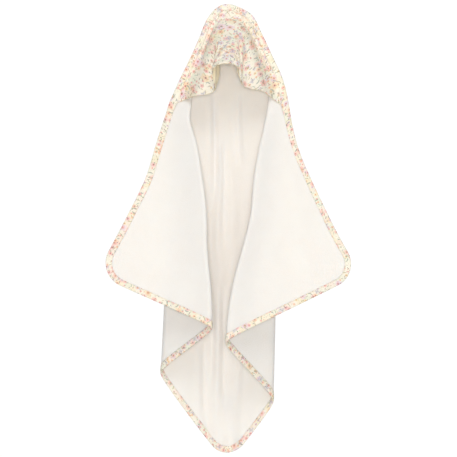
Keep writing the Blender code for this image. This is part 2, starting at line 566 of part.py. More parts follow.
# ------------------------------------------------------------------ hood print and hood lining
def hood_mesh():
    pts, loops = [], []
    sel = [i for i in range(NS) if S[i] <= Q_HOOD + 1e-4 or S[i] >= PERIMETER - Q_HOOD - 1e-4]
    right = [i for i in sel if S[i] > PERIMETER / 2]
    left = [i for i in sel if S[i] < PERIMETER / 2]
    order = right + left                                     # right end, tip, left end
    flat = []
    for i in order:
        d = min(S[i], PERIMETER - S[i])
        flat.append((EA[i], EB[i]))
    n_edge = len(flat)
    front = stations(lambda x: hood((HOOD_D * 1.0 - x) / R2, (HOOD_D + x) / R2), -HOOD_D + 0.0004, HOOD_D - 0.0004, 0.03, math.radians(20))[1:-1]
    ends = HOOD_D - BINDING_W * R2
    front = np.array([-ends] + [x for x in front if abs(x) < ends - 0.006] + [ends])
    loop = flat + [((HOOD_D - x) / R2, (HOOD_D + x) / R2) for x in front]
    pts = list(loop)
    loops = [list(range(len(pts)))]
    chains = []
    inner = {}
    for n, i in enumerate(order):
        x, y = EA[i] + NA[i] * BINDING_W, EB[i] + NB[i] * BINDING_W
        if (x + y) / R2 < HOOD_D - 0.001:
            inner[n] = len(pts)
            pts.append((x, y))
        elif (x + y) / R2 < HOOD_D + 0.001:
            inner[n] = n_edge if x > y else n_edge + len(front) - 1
    chains.append([inner[n] for n in sorted(inner)])
    for n in sorted(inner):
        chains.append([n, inner[n]])
        if n + 1 in inner:
            chains.append([n, inner[n + 1]])
    for e in (0.010, 0.025, 0.045, 0.07, 0.095, 0.12, 0.145):
        d = HOOD_D - e
        for x in front * (1 if e < 0.05 else 1.0):
            x2 = x * (d / HOOD_D)
            a, b = (d - x2) / R2, (d + x2) / R2
            pp = edge_foot(np.array([a]), np.array([b]))[0][0]
            if pp > LIMIT and (e < 0.05 or abs(x) < 10):
                if all((a - q[0]) ** 2 + (b - q[1]) ** 2 > 0.0045 ** 2 for q in pts):
                    pts.append((a, b))
    xy, faces, rim = triangulate(pts, loops, chains)
    a, b = xy[:, 0], xy[:, 1]
    loose = 0.0014 * ease(0.0127, 0.028, edge_foot(a, b)[0])[:, None]
    return hood(a, b), normals(hood, a, b), faces, rim, loose


HM, HN, HF, HR, HL = hood_mesh()
make("hood_print_panel", *shell(HM + HN * (GAP / 2 + PRINT_T), HM + HN * GAP / 2, HF, HR), PRINT, 0.85, 0.2)
make("hood_terry_lining", *shell(HM - HN * (GAP / 2 + HL), HM - HN * (GAP / 2 + HL + LINING_T), HF, HR), TERRY, 0.95, 0.4)

# thread along the hood's front edge
xs = stations(lambda x: hood((HOOD_D - x) / R2, (HOOD_D + x) / R2), -HOOD_D + 0.050, HOOD_D - 0.050, 0.014, math.radians(10))
rows = []
for e in (HOOD_SEAM_IN, HOOD_SEAM_IN + THREAD_W):
    k = (HOOD_D - e) / HOOD_D
    a, b = (HOOD_D * k - xs * k) / R2, (HOOD_D * k + xs * k) / R2
    rows.append((hood(a, b), normals(hood, a, b)))
lift = GAP / 2 + PRINT_T + THREAD_GAP
secs = [np.array([rows[0][0][i] + rows[0][1][i] * lift, rows[0][0][i] + rows[0][1][i] * (lift + THREAD_T),
                  rows[1][0][i] + rows[1][1][i] * (lift + THREAD_T), rows[1][0][i] + rows[1][1][i] * lift]) for i in range(len(xs))]
make("hood_edge_stitch", *ring(secs, closed=False), (0.95, 0.93, 0.88), 0.6, 0.1)

# ------------------------------------------------------------------ care label
back = towel(np.linspace(0.55, 0.75, 60).repeat(60), np.tile(np.linspace(0.55, 0.75, 60), 60))
near = back[(np.abs(back[:, 0]) < LABEL_W * 0.7) & (back[:, 2] < LABEL_TOP + 0.006) & (back[:, 2] > LABEL_TOP - LABEL_L - 0.01)]
LABEL_Y = float(near[:, 1].max()) + TERRY_HALF + LABEL_CLEAR + 0.0008
lab = bpy.data.meshes.new("care_label")
bm = bmesh.new()
grid = []
for j in range(7):
    z = -LABEL_L * j / 6
    grid.append([(x, z) for x in np.linspace(-LABEL_W / 2, LABEL_W / 2, 7)])
front_v = [[bm.verts.new((x, -LABEL_T / 2, z - 0.001)) for x, z in row] for row in grid]
back_v = [[bm.verts.new((x, LABEL_T / 2, z - 0.001)) for x, z in row] for row in grid]
for j in range(6):
    for i in range(6):
        bm.faces.new((front_v[j][i], front_v[j][i + 1], front_v[j + 1][i + 1], front_v[j + 1][i]))
        bm.faces.new((back_v[j][i], back_v[j + 1][i], back_v[j + 1][i + 1], back_v[j][i + 1]))
for i in range(6):
    bm.faces.new((front_v[0][i + 1], front_v[0][i], back_v[0][i], back_v[0][i + 1]))
    bm.faces.new((front_v[6][i], front_v[6][i + 1], back_v[6][i + 1], back_v[6][i]))
    bm.faces.new((front_v[i][0], front_v[i + 1][0], back_v[i + 1][0], back_v[i][0]))
    bm.faces.new((front_v[i + 1][6], front_v[i][6], back_v[i][6], back_v[i + 1][6]))
bmesh.ops.recalc_face_normals(bm, faces=bm.faces)
bm.to_mesh(lab)
bm.free()
label = bpy.data.objects.new("care_label", lab)
bpy.context.scene.collection.objects.link(label)
label.location = (0.0, LABEL_Y, LABEL_TOP)
mat = bpy.data.materials.new("care_label")
mat.use_nodes = True
mat.node_tree.nodes["Principled BSDF"].inputs["Base Color"].default_value = (0.96, 0.95, 0.92, 1)
mat.node_tree.nodes["Principled BSDF"].inputs["Roughness"].default_value = 0.5
lab.materials.append(mat)
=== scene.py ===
"""Looks for the hooded baby towel: terry with pile, a small meadow print, tape, thread and label."""
import math

import bmesh
import bpy
import numpy as np
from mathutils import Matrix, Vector
from mathutils.geometry import delaunay_2d_cdt


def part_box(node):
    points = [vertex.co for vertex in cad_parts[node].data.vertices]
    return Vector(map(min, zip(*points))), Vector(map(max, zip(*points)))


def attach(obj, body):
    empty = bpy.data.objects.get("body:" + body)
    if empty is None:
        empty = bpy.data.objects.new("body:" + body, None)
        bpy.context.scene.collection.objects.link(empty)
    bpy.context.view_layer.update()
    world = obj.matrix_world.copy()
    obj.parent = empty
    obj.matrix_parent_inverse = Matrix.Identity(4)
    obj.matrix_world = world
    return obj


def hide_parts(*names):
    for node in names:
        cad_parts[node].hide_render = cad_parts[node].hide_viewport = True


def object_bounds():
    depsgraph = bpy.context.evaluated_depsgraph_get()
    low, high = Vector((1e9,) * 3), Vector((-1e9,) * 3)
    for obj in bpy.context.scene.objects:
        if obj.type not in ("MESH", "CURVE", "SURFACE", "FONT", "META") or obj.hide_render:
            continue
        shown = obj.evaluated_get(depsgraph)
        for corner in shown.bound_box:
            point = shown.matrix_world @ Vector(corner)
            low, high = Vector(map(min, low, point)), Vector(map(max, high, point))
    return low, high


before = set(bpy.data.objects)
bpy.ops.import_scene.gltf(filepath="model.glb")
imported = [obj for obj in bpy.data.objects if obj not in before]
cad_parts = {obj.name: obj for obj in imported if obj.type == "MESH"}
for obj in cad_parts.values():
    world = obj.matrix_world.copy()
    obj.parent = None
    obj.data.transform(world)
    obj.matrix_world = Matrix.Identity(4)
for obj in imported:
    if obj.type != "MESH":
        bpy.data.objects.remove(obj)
CAD_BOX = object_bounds()
KEY, FILL, FRONTAL, TOP, BACK, WORLD = 2.0, 2.0, 182.0, 36.0, 42.0, 0.39

# ---------------------------------------------------------------- driving dimensions (metres)
SIDE = 0.750            # the square before it is hung
CORNER_R = 0.060        # every corner is rounded, the hood tip too
HOOD_LEG = 0.300        # hood triangle, measured along each side from the tip
R2 = 2.0 ** 0.5
TIP_D = CORNER_R * (R2 - 1.0)              # rounded tip: distance of the edge from the sharp tip
HOOD_D = HOOD_LEG / R2                     # sharp tip to hood line
ARC = CORNER_R * np.pi / 2
Q_HOOD = ARC / 2 + HOOD_LEG - CORNER_R     # edge length, tip to hood end

# edge of the hood on each side: (edge length from tip, x, y, z)
HOOD_LEFT = [(0.000, -0.002, 0.000, 0.000), (0.010, -0.0118, 0.000, -0.0011), (0.0265, -0.0265, 0.000, -0.009), (0.0595, -0.047, -0.001, -0.033),
             (0.110, -0.066, -0.004, -0.078), (0.171, -0.090, -0.010, -0.132), (0.226, -0.113, -0.017, -0.179),
             (0.2871, -0.137, -0.025, -0.236)]
HOOD_RIGHT = [(0.000, -0.002, 0.000, 0.000), (0.010, 0.0078, 0.000, -0.0007), (0.0265, 0.0235, 0.000, -0.006), (0.0595, 0.053, -0.001, -0.023),
              (0.110, 0.078, -0.004, -0.068), (0.171, 0.104, -0.010, -0.124), (0.226, 0.127, -0.017, -0.175),
              (0.2871, 0.1416, -0.025, -0.238)]
# centre strip of the towel inside the hood and of the hood panel: (distance from the rounded tip, x, y, z)
NAPE = [(0.0, -0.002, 0.000, 0.000), (0.0058, -0.002, 0.001, -0.006), (0.0263, -0.001, 0.007, -0.0255), (0.0621, 0.001, 0.024, -0.057),
        (0.1052, 0.001, 0.048, -0.093), (0.144, 0.000, 0.062, -0.130), (0.1872, 0.000, 0.064, -0.174)]
BROW = [(0.0, -0.002, 0.000, 0.000), (0.0058, -0.002, -0.001, -0.006), (0.0263, -0.001, -0.010, -0.0245), (0.0621, 0.001, -0.031, -0.053),
        (0.1052, 0.001, -0.061, -0.084), (0.144, -0.003, -0.088, -0.112), (0.1872, -0.006, -0.115, -0.1425)]
# front edge of the hood: (length along the edge, x, y, z)
BRIM = [(0.000, -0.137, -0.025, -0.236), (0.060, -0.085, -0.064, -0.2195), (0.118, -0.0354, -0.086, -0.211),
        (0.186, -0.031, -0.107, -0.149), (0.2122, -0.006, -0.115, -0.1425), (0.238, 0.0165, -0.112, -0.1465),
        (0.270, 0.028, -0.102, -0.1735), (0.299, 0.0354, -0.090, -0.198), (0.353, 0.080, -0.066, -0.2065),
        (0.4243, 0.1416, -0.025, -0.238)]
# lines the towel hangs in below the hood: (x, y, z) from the hood line to the edge
EDGE_L = [(-0.137, -0.025, -0.236), (-0.167, -0.036, -0.328), (-0.191, -0.046, -0.408), (-0.224, -0.056, -0.479),
          (-0.259, -0.066, -0.547), (-0.2795, -0.070, -0.586)]
FOLD1_L = [(-0.085, -0.031, -0.2266), (-0.0885, -0.046, -0.267), (-0.073, -0.066, -0.328), (-0.061, -0.078, -0.399),
           (-0.050, -0.088, -0.493), (-0.048, -0.096, -0.581), (-0.038, -0.106, -0.699), (-0.038, -0.110, -0.762)]
FOLD2_L = [(-0.118, -0.012, -0.214), (-0.134, -0.010, -0.330), (-0.144, -0.008, -0.480), (-0.151, -0.006, -0.703), (-0.159, -0.004, -0.872)]
SPINE = [(0.000, 0.064, -0.174), (0.000, 0.056, -0.300), (0.000, 0.050, -0.480), (-0.001, 0.046, -0.700), (-0.002, 0.040, -0.900), (-0.002, 0.036, -1.0640)]
FOLD2_R = [(0.120, -0.012, -0.218), (0.117, -0.008, -0.400), (0.112, -0.006, -0.734), (0.107, -0.004, -0.939)]
FOLD1_R = [(0.0944, -0.031, -0.2336), (0.083, -0.046, -0.290), (0.071, -0.062, -0.345), (0.059, -0.076, -0.422),
           (0.052, -0.086, -0.503), (0.035, -0.096, -0.573), (0.012, -0.106, -0.658), (-0.002, -0.114, -0.746), (-0.005, -0.118, -0.795)]
EDGE_R = [(0.1416, -0.025, -0.238), (0.163, -0.036, -0.338), (0.194, -0.048, -0.415), (0.224, -0.058, -0.479),
          (0.262, -0.070, -0.555), (0.2795, -0.074, -0.586)]

TERRY_HALF = 0.0015     # half thickness of the terry
HEM_HALF = 0.0012       # pressed thinner under the binding
GAP = 0.0004            # between neighbouring plies
LINING_T = 0.0016
PRINT_T = 0.0006
BINDING_W = 0.0125      # covers this much of each face
BINDING_T = 0.0008
THREAD_IN = 0.0105      # seam line, from the edge
THREAD_W = 0.0009
THREAD_T = 0.0005
THREAD_GAP = 0.0010
HOOD_SEAM_IN = 0.005    # seam line, from the hood's front edge
LABEL_T = 0.0006
LABEL_TOP = -0.925      # height of the label's sewn edge, on the back of the towel
LABEL_CLEAR = 0.0016    # the label's pin line stands this far off the terry

FOLD_AT_HOOD = (0.0, 0.0566, 0.0919, 0.2122, 0.3324, 0.3705, 0.4243)      # along the hood line
FOLD_AT_HEM = (0.0, 0.3382, 0.5312, 0.7713, 0.9284, 1.1334, 1.5425)       # along the hem, corner to corner
FOLD_SOFT = (0.015, 0.015, 0.060, 0.015, 0.015)                            # rounding of the bend at each line
FOLD_GAP = (0.0088, 0.0088, 0.0, -0.0088, -0.0088)                         # how far each fold's leaves are held apart
PLEATS = ((0.430, 0.085, 0.0065), (0.475, 0.090, -0.0045), (0.515, 0.105, 0.0060), (0.570, 0.120, -0.0045))
WAVES = ((0.075, 0.5, 0.0045), (0.135, 0.9, -0.0040), (0.905, 0.6, 0.0045), (0.955, 1.1, -0.0040))


def spline(keys, t):
    """smooth curve through keyed points, keys = rows (t, values...)"""
    k = np.asarray(keys, float)
    s, p = k[:, 0], k[:, 1:]
    t = np.clip(np.asarray(t, float), s[0], s[-1])
    m = np.zeros_like(p)
    h = np.diff(s)[:, None]
    d = np.diff(p, axis=0) / h
    m[1:-1] = (h[1:] * d[:-1] + h[:-1] * d[1:]) / (h[1:] + h[:-1])
    m[0], m[-1] = d[0] * 1.5 - m[1] * 0.5, d[-1] * 1.5 - m[-2] * 0.5
    i = np.clip(np.searchsorted(s, t, side='right') - 1, 0, len(s) - 2)
    w = ((t - s[i]) / (s[i + 1] - s[i]))[..., None]
    hh = (s[i + 1] - s[i])[..., None]
    return ((1 + 2 * w) * (1 - w) ** 2 * p[i] + w * (1 - w) ** 2 * hh * m[i]
            + w * w * (3 - 2 * w) * p[i + 1] + w * w * (w - 1) * hh * m[i + 1])


def by_length(points):
    p = np.asarray(points, float)
    s = np.concatenate([[0], np.cumsum(np.linalg.norm(np.diff(p, axis=0), axis=1))])
    return np.column_stack([s / s[-1], p])


def ease(lo, hi, x):
    t = np.clip((x - lo) / (hi - lo), 0, 1)
    return t * t * (3 - 2 * t)


V_K = np.array(FOLD_AT_HOOD) / FOLD_AT_HOOD[-1]
GUIDES = [by_length(g) for g in (EDGE_L, FOLD1_L, FOLD2_L, SPINE, FOLD2_R, FOLD1_R, EDGE_R)]
STRAIGHT = SIDE - 2 * CORNER_R
HEM_LENGTH = 3 * ARC + 2 * STRAIGHT


def hem(s):
    """flat point of the hem, s from the start of the left corner to the end of the right one"""
    s = np.asarray(s, float)
    L, r = SIDE, CORNER_R
    s0, s1, s2, s3 = ARC, ARC + STRAIGHT, 2 * ARC + STRAIGHT, 2 * ARC + 2 * STRAIGHT
    t0, t1, t2 = np.clip(s, 0, s0) / r, (np.clip(s, s1, s2) - s1) / r, np.maximum(s - s3, 0) / r
    a = np.select([s < s0, s < s1, s < s2, s < s3],
                  [L - r + r * np.sin(t0), np.full_like(s, L), L - r + r * np.cos(t1), L - r - (s - s2)], r - r * np.sin(t2))
    b = np.select([s < s0, s < s1, s < s2, s < s3],
                  [r - r * np.cos(t0), r + s - s0, L - r + r * np.sin(t1), np.full_like(s, L)], L - r + r * np.cos(t2))
    return a, b


def flat_ruled(v, t):
    hu = (v * 2 - 1) * HOOD_D
    oa, ob = hem(np.interp(v, V_K, FOLD_AT_HEM))
    return (1 - t) * (HOOD_D - hu) / R2 + t * oa, (1 - t) * (HOOD_D + hu) / R2 + t * ob


def lower(v, t):
    """point of the towel below the hood line; v runs left to right, t from the hood line to the hem"""
    v, t = np.broadcast_arrays(np.clip(v, 0.0, 1.0), np.clip(t, 0.0, 1.0))
    K = len(GUIDES)
    P = np.stack([spline(g, t) for g in GUIDES], axis=-2)
    dt = 0.004
    t0, t1 = np.clip(t - dt, 0, 1), np.clip(t + dt, 0, 1)
    dP = np.stack([(spline(g, t1) - spline(g, t0)) / (t1 - t0)[..., None] for g in GUIDES], axis=-2)
    F = np.stack([np.stack(flat_ruled(np.full_like(t, vk), t), -1) for vk in V_K], axis=-2)
    dF = np.stack([np.stack(flat_ruled(np.full_like(t, vk), 1.0), -1) - np.stack(flat_ruled(np.full_like(t, vk), 0.0), -1)
                   for vk in V_K], axis=-2)
    seg = np.linalg.norm(np.diff(F, axis=-2), axis=-1)
    L = np.concatenate([np.zeros(seg.shape[:-1] + (1,)), np.cumsum(seg, -1)], -1)
    i = np.clip(np.searchsorted(V_K, v, side='right') - 1, 0, K - 2)
    w = (v - V_K[i]) / (V_K[i + 1] - V_K[i])
    take = lambda arr, k: np.take_along_axis(arr, k[..., None], -1)[..., 0]
    l = take(L, i) * (1 - w) + take(L, i + 1) * w
    PF = np.concatenate([P, F], -1)
    slope = np.diff(PF, axis=-2) / seg[..., None]
    eps = np.array(FOLD_SOFT)
    comp = PF.copy()
    comp[..., 1:-1, :] -= 0.5 * np.diff(slope, axis=-2) * eps[:, None] * np.array([1.0, 0.0, 1.0, 1.0, 1.0])
    slope = np.diff(comp, axis=-2) / seg[..., None]
    ds = np.diff(slope, axis=-2)
    base = lambda x: 0.5 * np.einsum('...k,...kc->...c', np.sqrt((x[..., None] - L[..., 1:-1]) ** 2 + eps * eps), ds)
    f0, f1 = base(np.zeros_like(l)), base(L[..., -1])
    u = (l / L[..., -1])[..., None]
    out = base(l) + (comp[..., 0, :] - f0) * (1 - u) + (comp[..., -1, :] - f1) * u
    out, chord = out[..., :3], out[..., 3:]
    slope = np.diff(P, axis=-2) / seg[..., None]
    d = l[..., None] - L[..., 1:-1]
    out[..., 1] += np.einsum('...k,k->...', np.tanh(d / 0.009) * np.exp(-(d / 0.05) ** 2), np.array(FOLD_GAP))
    # the outline between two lines isn't straight where a corner is rounded
    A, B = flat_ruled(v, t)
    dev = np.stack([A, B], -1) - chord
    step = [np.ones_like(l)] + [ease(-r, r, l - L[..., k]) for k, r in ((1, 0.02), (2, 0.02), (3, 0.06), (4, 0.02), (5, 0.02))]
    for k in range(K - 1):                                        # each line's two sides share one slope near it
        share = step[k] - (step[k + 1] if k + 1 < K - 1 else 0.0)
        wk = np.clip((l - L[..., k]) / seg[..., k], 0, 1)[..., None]
        el = (F[..., k + 1, :] - F[..., k, :]) / seg[..., k][..., None]
        gt = dF[..., k, :] * (1 - wk) + dF[..., k + 1, :] * wk
        gl = np.linalg.norm(gt, axis=-1)[..., None]
        et = gt / gl
        det = el[..., 0] * et[..., 1] - el[..., 1] * et[..., 0]
        cl = (dev[..., 0] * et[..., 1] - dev[..., 1] * et[..., 0]) / det * share
        ct = (el[..., 0] * dev[..., 1] - el[..., 1] * dev[..., 0]) / det * share
        dpt = (dP[..., k, :] * (1 - wk) + dP[..., k + 1, :] * wk) / gl
        out += cl[..., None] * slope[..., k, :] + ct[..., None] * dpt
    for (rows, width, lo, hi) in ((PLEATS, 0.017, -0.2, 0.5), (WAVES, 0.036, 0.15, 0.8)):
        for at, _, deep in rows:
            j = int(np.searchsorted(V_K, at) - 1)
            g = (at - V_K[j]) / (V_K[j + 1] - V_K[j])
            here = L[..., j] * (1 - g) + L[..., j + 1] * g
            out[..., 1] += deep * np.exp(-((l - here) / width) ** 2) * ease(lo, hi, t)
    return out


def upper(u, d, front):
    """point of the towel (front False) or of the hood panel (front True) above the hood line"""
    r = CORNER_R
    d = np.maximum(d, TIP_D + 1e-6)
    on_arc = d < r / R2
    th = np.arccos(np.clip((R2 * r - d) / r, -1, 1))
    q = np.where(on_arc, r * th, ARC / 2 + (d - r / R2) * R2)
    w = np.where(on_arc, r * np.sin(th), d)
    v = np.clip((u / np.maximum(w, 1e-6) + 1) / 2, 0, 1)
    PL, PR = spline(HOOD_LEFT, q), spline(HOOD_RIGHT, q)
    C = spline(BROW if front else NAPE, d - TIP_D)
    psi = (v - 0.5)[..., None] * np.pi
    mid, H = (PL + PR) / 2, (PR - PL) / 2
    arc = mid + H * np.sin(psi) + (C - mid) * np.cos(psi)
    if not front:
        q1 = np.full_like(q, Q_HOOD)
        PL1, PR1 = spline(HOOD_LEFT, q1), spline(HOOD_RIGHT, q1)
        C1 = spline(NAPE, np.full_like(d, HOOD_D - TIP_D))
        m1, H1 = (PL1 + PR1) / 2, (PR1 - PL1) / 2
        arc1 = m1 + H1 * np.sin(psi) + (C1 - m1) * np.cos(psi)
        return arc + (lower(v, np.zeros_like(v)) - arc1) * ease(0.10, Q_HOOD, q)[..., None]
    E = spline(BRIM, v * BRIM[-1][0])
    E0, E1, EC = np.array(BRIM[0][1:]), np.array(BRIM[-1][1:]), spline(BROW, np.full_like(d, HOOD_D - TIP_D))
    mE, HE = (E0 + E1) / 2, (E1 - E0) / 2
    ex = (E[..., 0] - mE[0]) / HE[0]
    res = E - mE - ex[..., None] * HE
    k = (C - mid) / (EC - mE)
    brim = mid + ex[..., None] * H + res * np.stack([np.zeros_like(v), k[..., 1], k[..., 2]], -1)
    return arc + (brim - arc) * ease(0.08, 0.25, q)[..., None]


def edge_foot(a, b):
    """distance from the outer edge, and where along the hood's edge the nearest edge point is"""
    r = CORNER_R
    left = b <= a
    p = np.minimum(a, b)
    along = np.maximum(a, b)
    tip = (a < r) & (b < r)
    rad = np.hypot(a - r, b - r)
    p = np.where(tip, r - rad, p)
    ang = np.arctan2(np.abs(a - b) / R2, (2 * r - a - b) / R2)
    q = np.where(tip, r * np.clip(ang, 0, np.pi / 4), ARC / 2 + along - r)
    return p, q, left


def fin(a, b):
    """the flat seam margin that stands on the hood's outline"""
    p, q, left = edge_foot(a, b)
    dq = 0.002
    out = np.zeros(a.shape + (3,))
    for keys, side, sel in ((HOOD_LEFT, 1.0, left), (HOOD_RIGHT, -1.0, ~left)):
        E = spline(keys, q)
        T = spline(keys, q + dq) - spline(keys, q - dq)
        I = np.stack([-T[..., 2], np.zeros_like(q), T[..., 0]], -1) * side
        I /= np.maximum(np.linalg.norm(I, axis=-1), 1e-9)[..., None]
        out = np.where(sel[..., None], E + I * p[..., None], out)
    return out, p, q


def invert(a, b):
    """(v, t) of a flat point below the hood line"""
    lo, hi = np.zeros_like(a), np.ones_like(a)
    for _ in range(34):
        m = (lo + hi) / 2
        hu = (m * 2 - 1) * HOOD_D
        ha, hb = (HOOD_D - hu) / R2, (HOOD_D + hu) / R2
        oa, ob = hem(np.interp(m, V_K, FOLD_AT_HEM))
        c = (oa - ha) * (b - hb) - (ob - hb) * (a - ha)
        right = c > 0
        lo, hi = np.where(right, m, lo), np.where(right, hi, m)
    v = (lo + hi) / 2
    hu = (v * 2 - 1) * HOOD_D
    ha, hb = (HOOD_D - hu) / R2, (HOOD_D + hu) / R2
    oa, ob = hem(np.interp(v, V_K, FOLD_AT_HEM))
    t = ((a - ha) * (oa - ha) + (b - hb) * (ob - hb)) / ((oa - ha) ** 2 + (ob - hb) ** 2)
    return v, t


def towel(a, b):
    """middle surface of the hanging towel at the flat point (a, b)"""
    a, b = np.atleast_1d(np.asarray(a, float)), np.atleast_1d(np.asarray(b, float))
    d, u = (a + b) / R2, (b - a) / R2
    out = np.zeros(a.shape + (3,))
    up = d < HOOD_D
    if up.any():
        s = upper(u[up], d[up], False)
        f, p, q = fin(a[up], b[up])
        k = (1 - ease(0.018, 0.062, p)) * (1 - ease(Q_HOOD - 0.05, Q_HOOD - 0.004, q))
        out[up] = s + (f - s) * k[..., None]
    if (~up).any():
        v, t = invert(a[~up], b[~up])
        out[~up] = lower(v, t)
    return out


def normals(f, a, b, h=0.0015):
    """unit normal, towards the inside face of the towel"""
    a, b = np.atleast_1d(np.asarray(a, float)), np.atleast_1d(np.asarray(b, float))
    ca, cb = np.clip(a, CORNER_R, SIDE - CORNER_R), np.clip(b, CORNER_R, SIDE - CORNER_R)
    far = np.hypot(a - ca, b - cb)
    k = np.minimum(1.0, (CORNER_R - 2.2 * h) / np.maximum(far, 1e-9))
    ca, cb = ca + (a - ca) * k, cb + (b - cb) * k
    n = np.cross(f(ca + h, cb) - f(ca - h, cb), f(ca, cb + h) - f(ca, cb - h))
    return n / np.linalg.norm(n, axis=-1)[..., None]



LIFT = HEM_HALF + GAP + LINING_T + GAP / 2        # hood's middle surface above the towel's
FRONT = np.array([0.0, -1.0, 0.0])


def half(p):
    return HEM_HALF + (TERRY_HALF - HEM_HALF) * ease(0.014, 0.034, p)


def backing(a, b):
    """the towel under the hood, carried straight on past the hood's free edge"""
    a, b = np.atleast_1d(np.asarray(a, float)), np.atleast_1d(np.asarray(b, float))
    d, u = (a + b) / R2, (b - a) / R2
    d0 = HOOD_D - 0.0022
    P = towel(a, b)
    sel = np.where(d > d0)[0]
    if len(sel):
        uu = np.clip(u[sel], -d0 + 0.0042, d0 - 0.0042)
        one, two = towel((d0 - uu) / R2, (d0 + uu) / R2), towel((d0 - 0.004 - uu) / R2, (d0 - 0.004 + uu) / R2)
        P[sel] = one + (one - two) / 0.004 * (d[sel] - d0)[:, None]
        near = np.abs(u[sel]) > d0 - 0.0042                        # the very corner, on the edge itself
        if near.any():
            P[sel[near]] = towel(a[sel[near]], b[sel[near]])
    return P


def hood_target(a, b):
    """middle surface of the hood, between its lining and its print"""
    a, b = np.atleast_1d(np.asarray(a, float)), np.atleast_1d(np.asarray(b, float))
    d, u = (a + b) / R2, (b - a) / R2
    s = upper(u, d, True)
    p, q, left = edge_foot(a, b)
    n = normals(backing, a, b)
    k = ease(0.0128, 0.050, p)[..., None]
    return (backing(a, b) + n * LIFT) * (1 - k) + s * k


def outline(s):
    """flat point on the edge and the unit step inwards; s runs left from the tip, all the way round"""
    s = np.atleast_1d(np.asarray(s, float))
    r, L = CORNER_R, SIDE
    s = np.mod(s, PERIMETER)
    e0, e1, e2, e3 = ARC / 2, ARC / 2 + STRAIGHT, ARC / 2 + STRAIGHT + HEM_LENGTH, ARC / 2 + 2 * STRAIGHT + HEM_LENGTH
    ang0, ang1 = np.pi * 1.25 + np.minimum(s, e0) / r, np.pi + np.maximum(s - e3, 0) / r
    ha, hb = hem(np.clip(s - e1, 0, HEM_LENGTH))
    a = np.select([s < e0, s < e1, s < e2, s < e3], [r + r * np.cos(ang0), r + s - e0, ha, np.zeros_like(s)], r + r * np.cos(ang1))
    b = np.select([s < e0, s < e1, s < e2, s < e3], [r + r * np.sin(ang0), np.zeros_like(s), hb, L - r - (s - e2)], r + r * np.sin(ang1))
    ca, cb = np.clip(a, r, L - r), np.clip(b, r, L - r)
    return a, b, (ca - a) / r, (cb - b) / r


PERIMETER = 2 * (ARC / 2 + STRAIGHT) + HEM_LENGTH


def edge_distance(a, b):
    ca, cb = np.clip(a, CORNER_R, SIDE - CORNER_R), np.clip(b, CORNER_R, SIDE - CORNER_R)
    d = np.hypot(a - ca, b - cb)
    return np.where(d > 0, CORNER_R - d, np.minimum.reduce([a, b, SIDE - a, SIDE - b]))


def rnd(seed, n):
    return np.random.RandomState(seed).rand(n)


def ripple(a, b, seed, scale, octaves=3):
    """smooth random field over the flat cloth, about -1 to 1"""
    r = np.random.RandomState(seed)
    out = np.zeros_like(a)
    for o in range(octaves):
        for _ in range(5):
            ang, ph = r.rand() * 2 * np.pi, r.rand() * 2 * np.pi
            f = 2 * np.pi / scale * (1.7 ** o) * (0.7 + 0.6 * r.rand())
            out += np.sin((np.cos(ang) * a + np.sin(ang) * b) * f + ph) * 0.6 ** o
    return out / 4.0


# ------------------------------------------------------------------ meshes
def new_object(name, verts, faces, smooth=True, uv=None):
    me = bpy.data.meshes.new(name)
    verts = np.asarray(verts, float)
    me.vertices.add(len(verts))
    me.vertices.foreach_set("co", verts.ravel())
    counts = np.array([len(f) for f in faces])
    flat = np.array([i for f in faces for i in f]) if not isinstance(faces, np.ndarray) else faces.ravel()
    me.loops.add(len(flat))
    me.loops.foreach_set("vertex_index", flat)
    me.polygons.add(len(counts))
    me.polygons.foreach_set("loop_start", np.concatenate([[0], np.cumsum(counts)[:-1]]))
    me.update(calc_edges=True)
    me.validate()
    if uv is not None:
        layer = me.uv_layers.new(name="cloth")
        idx = np.empty(len(me.loops), int)
        me.loops.foreach_get("vertex_index", idx)
        layer.data.foreach_set("uv", np.asarray(uv, float)[idx].ravel())
    me.polygons.foreach_set("use_smooth", np.full(len(me.polygons), smooth))
    me.update()
    ob = bpy.data.objects.new(name, me)
    bpy.context.scene.collection.objects.link(ob)
    return ob


def flat_mesh(points, loops, chains):
    edges = []
    for loop in loops:
        edges += [(loop[i], loop[(i + 1) % len(loop)]) for i in range(len(loop))]
    for c in chains:
        edges += [(c[i], c[i + 1]) for i in range(len(c) - 1)]
    out = delaunay_2d_cdt([Vector((float(p[0]), float(p[1]))) for p in points], edges, [], 1, 1e-7)
    xy = np.array([tuple(v) for v in out[0]])
    index = {}
    for new, olds in enumerate(out[3]):
        for o in olds:
            index[o] = new
    return xy, np.array([tuple(f) for f in out[2] if len(f) == 3]), index


def orient(P, faces, towards_inner):
    return faces


def vertex_normals(P, faces):
    n = np.cross(P[faces[:, 1]] - P[faces[:, 0]], P[faces[:, 2]] - P[faces[:, 0]])
    out = np.zeros_like(P)
    for k in range(3):
        for c in range(3):
            out[:, c] += np.bincount(faces[:, k], weights=n[:, c], minlength=len(P))
    return out / np.maximum(np.linalg.norm(out, axis=1), 1e-12)[:, None]


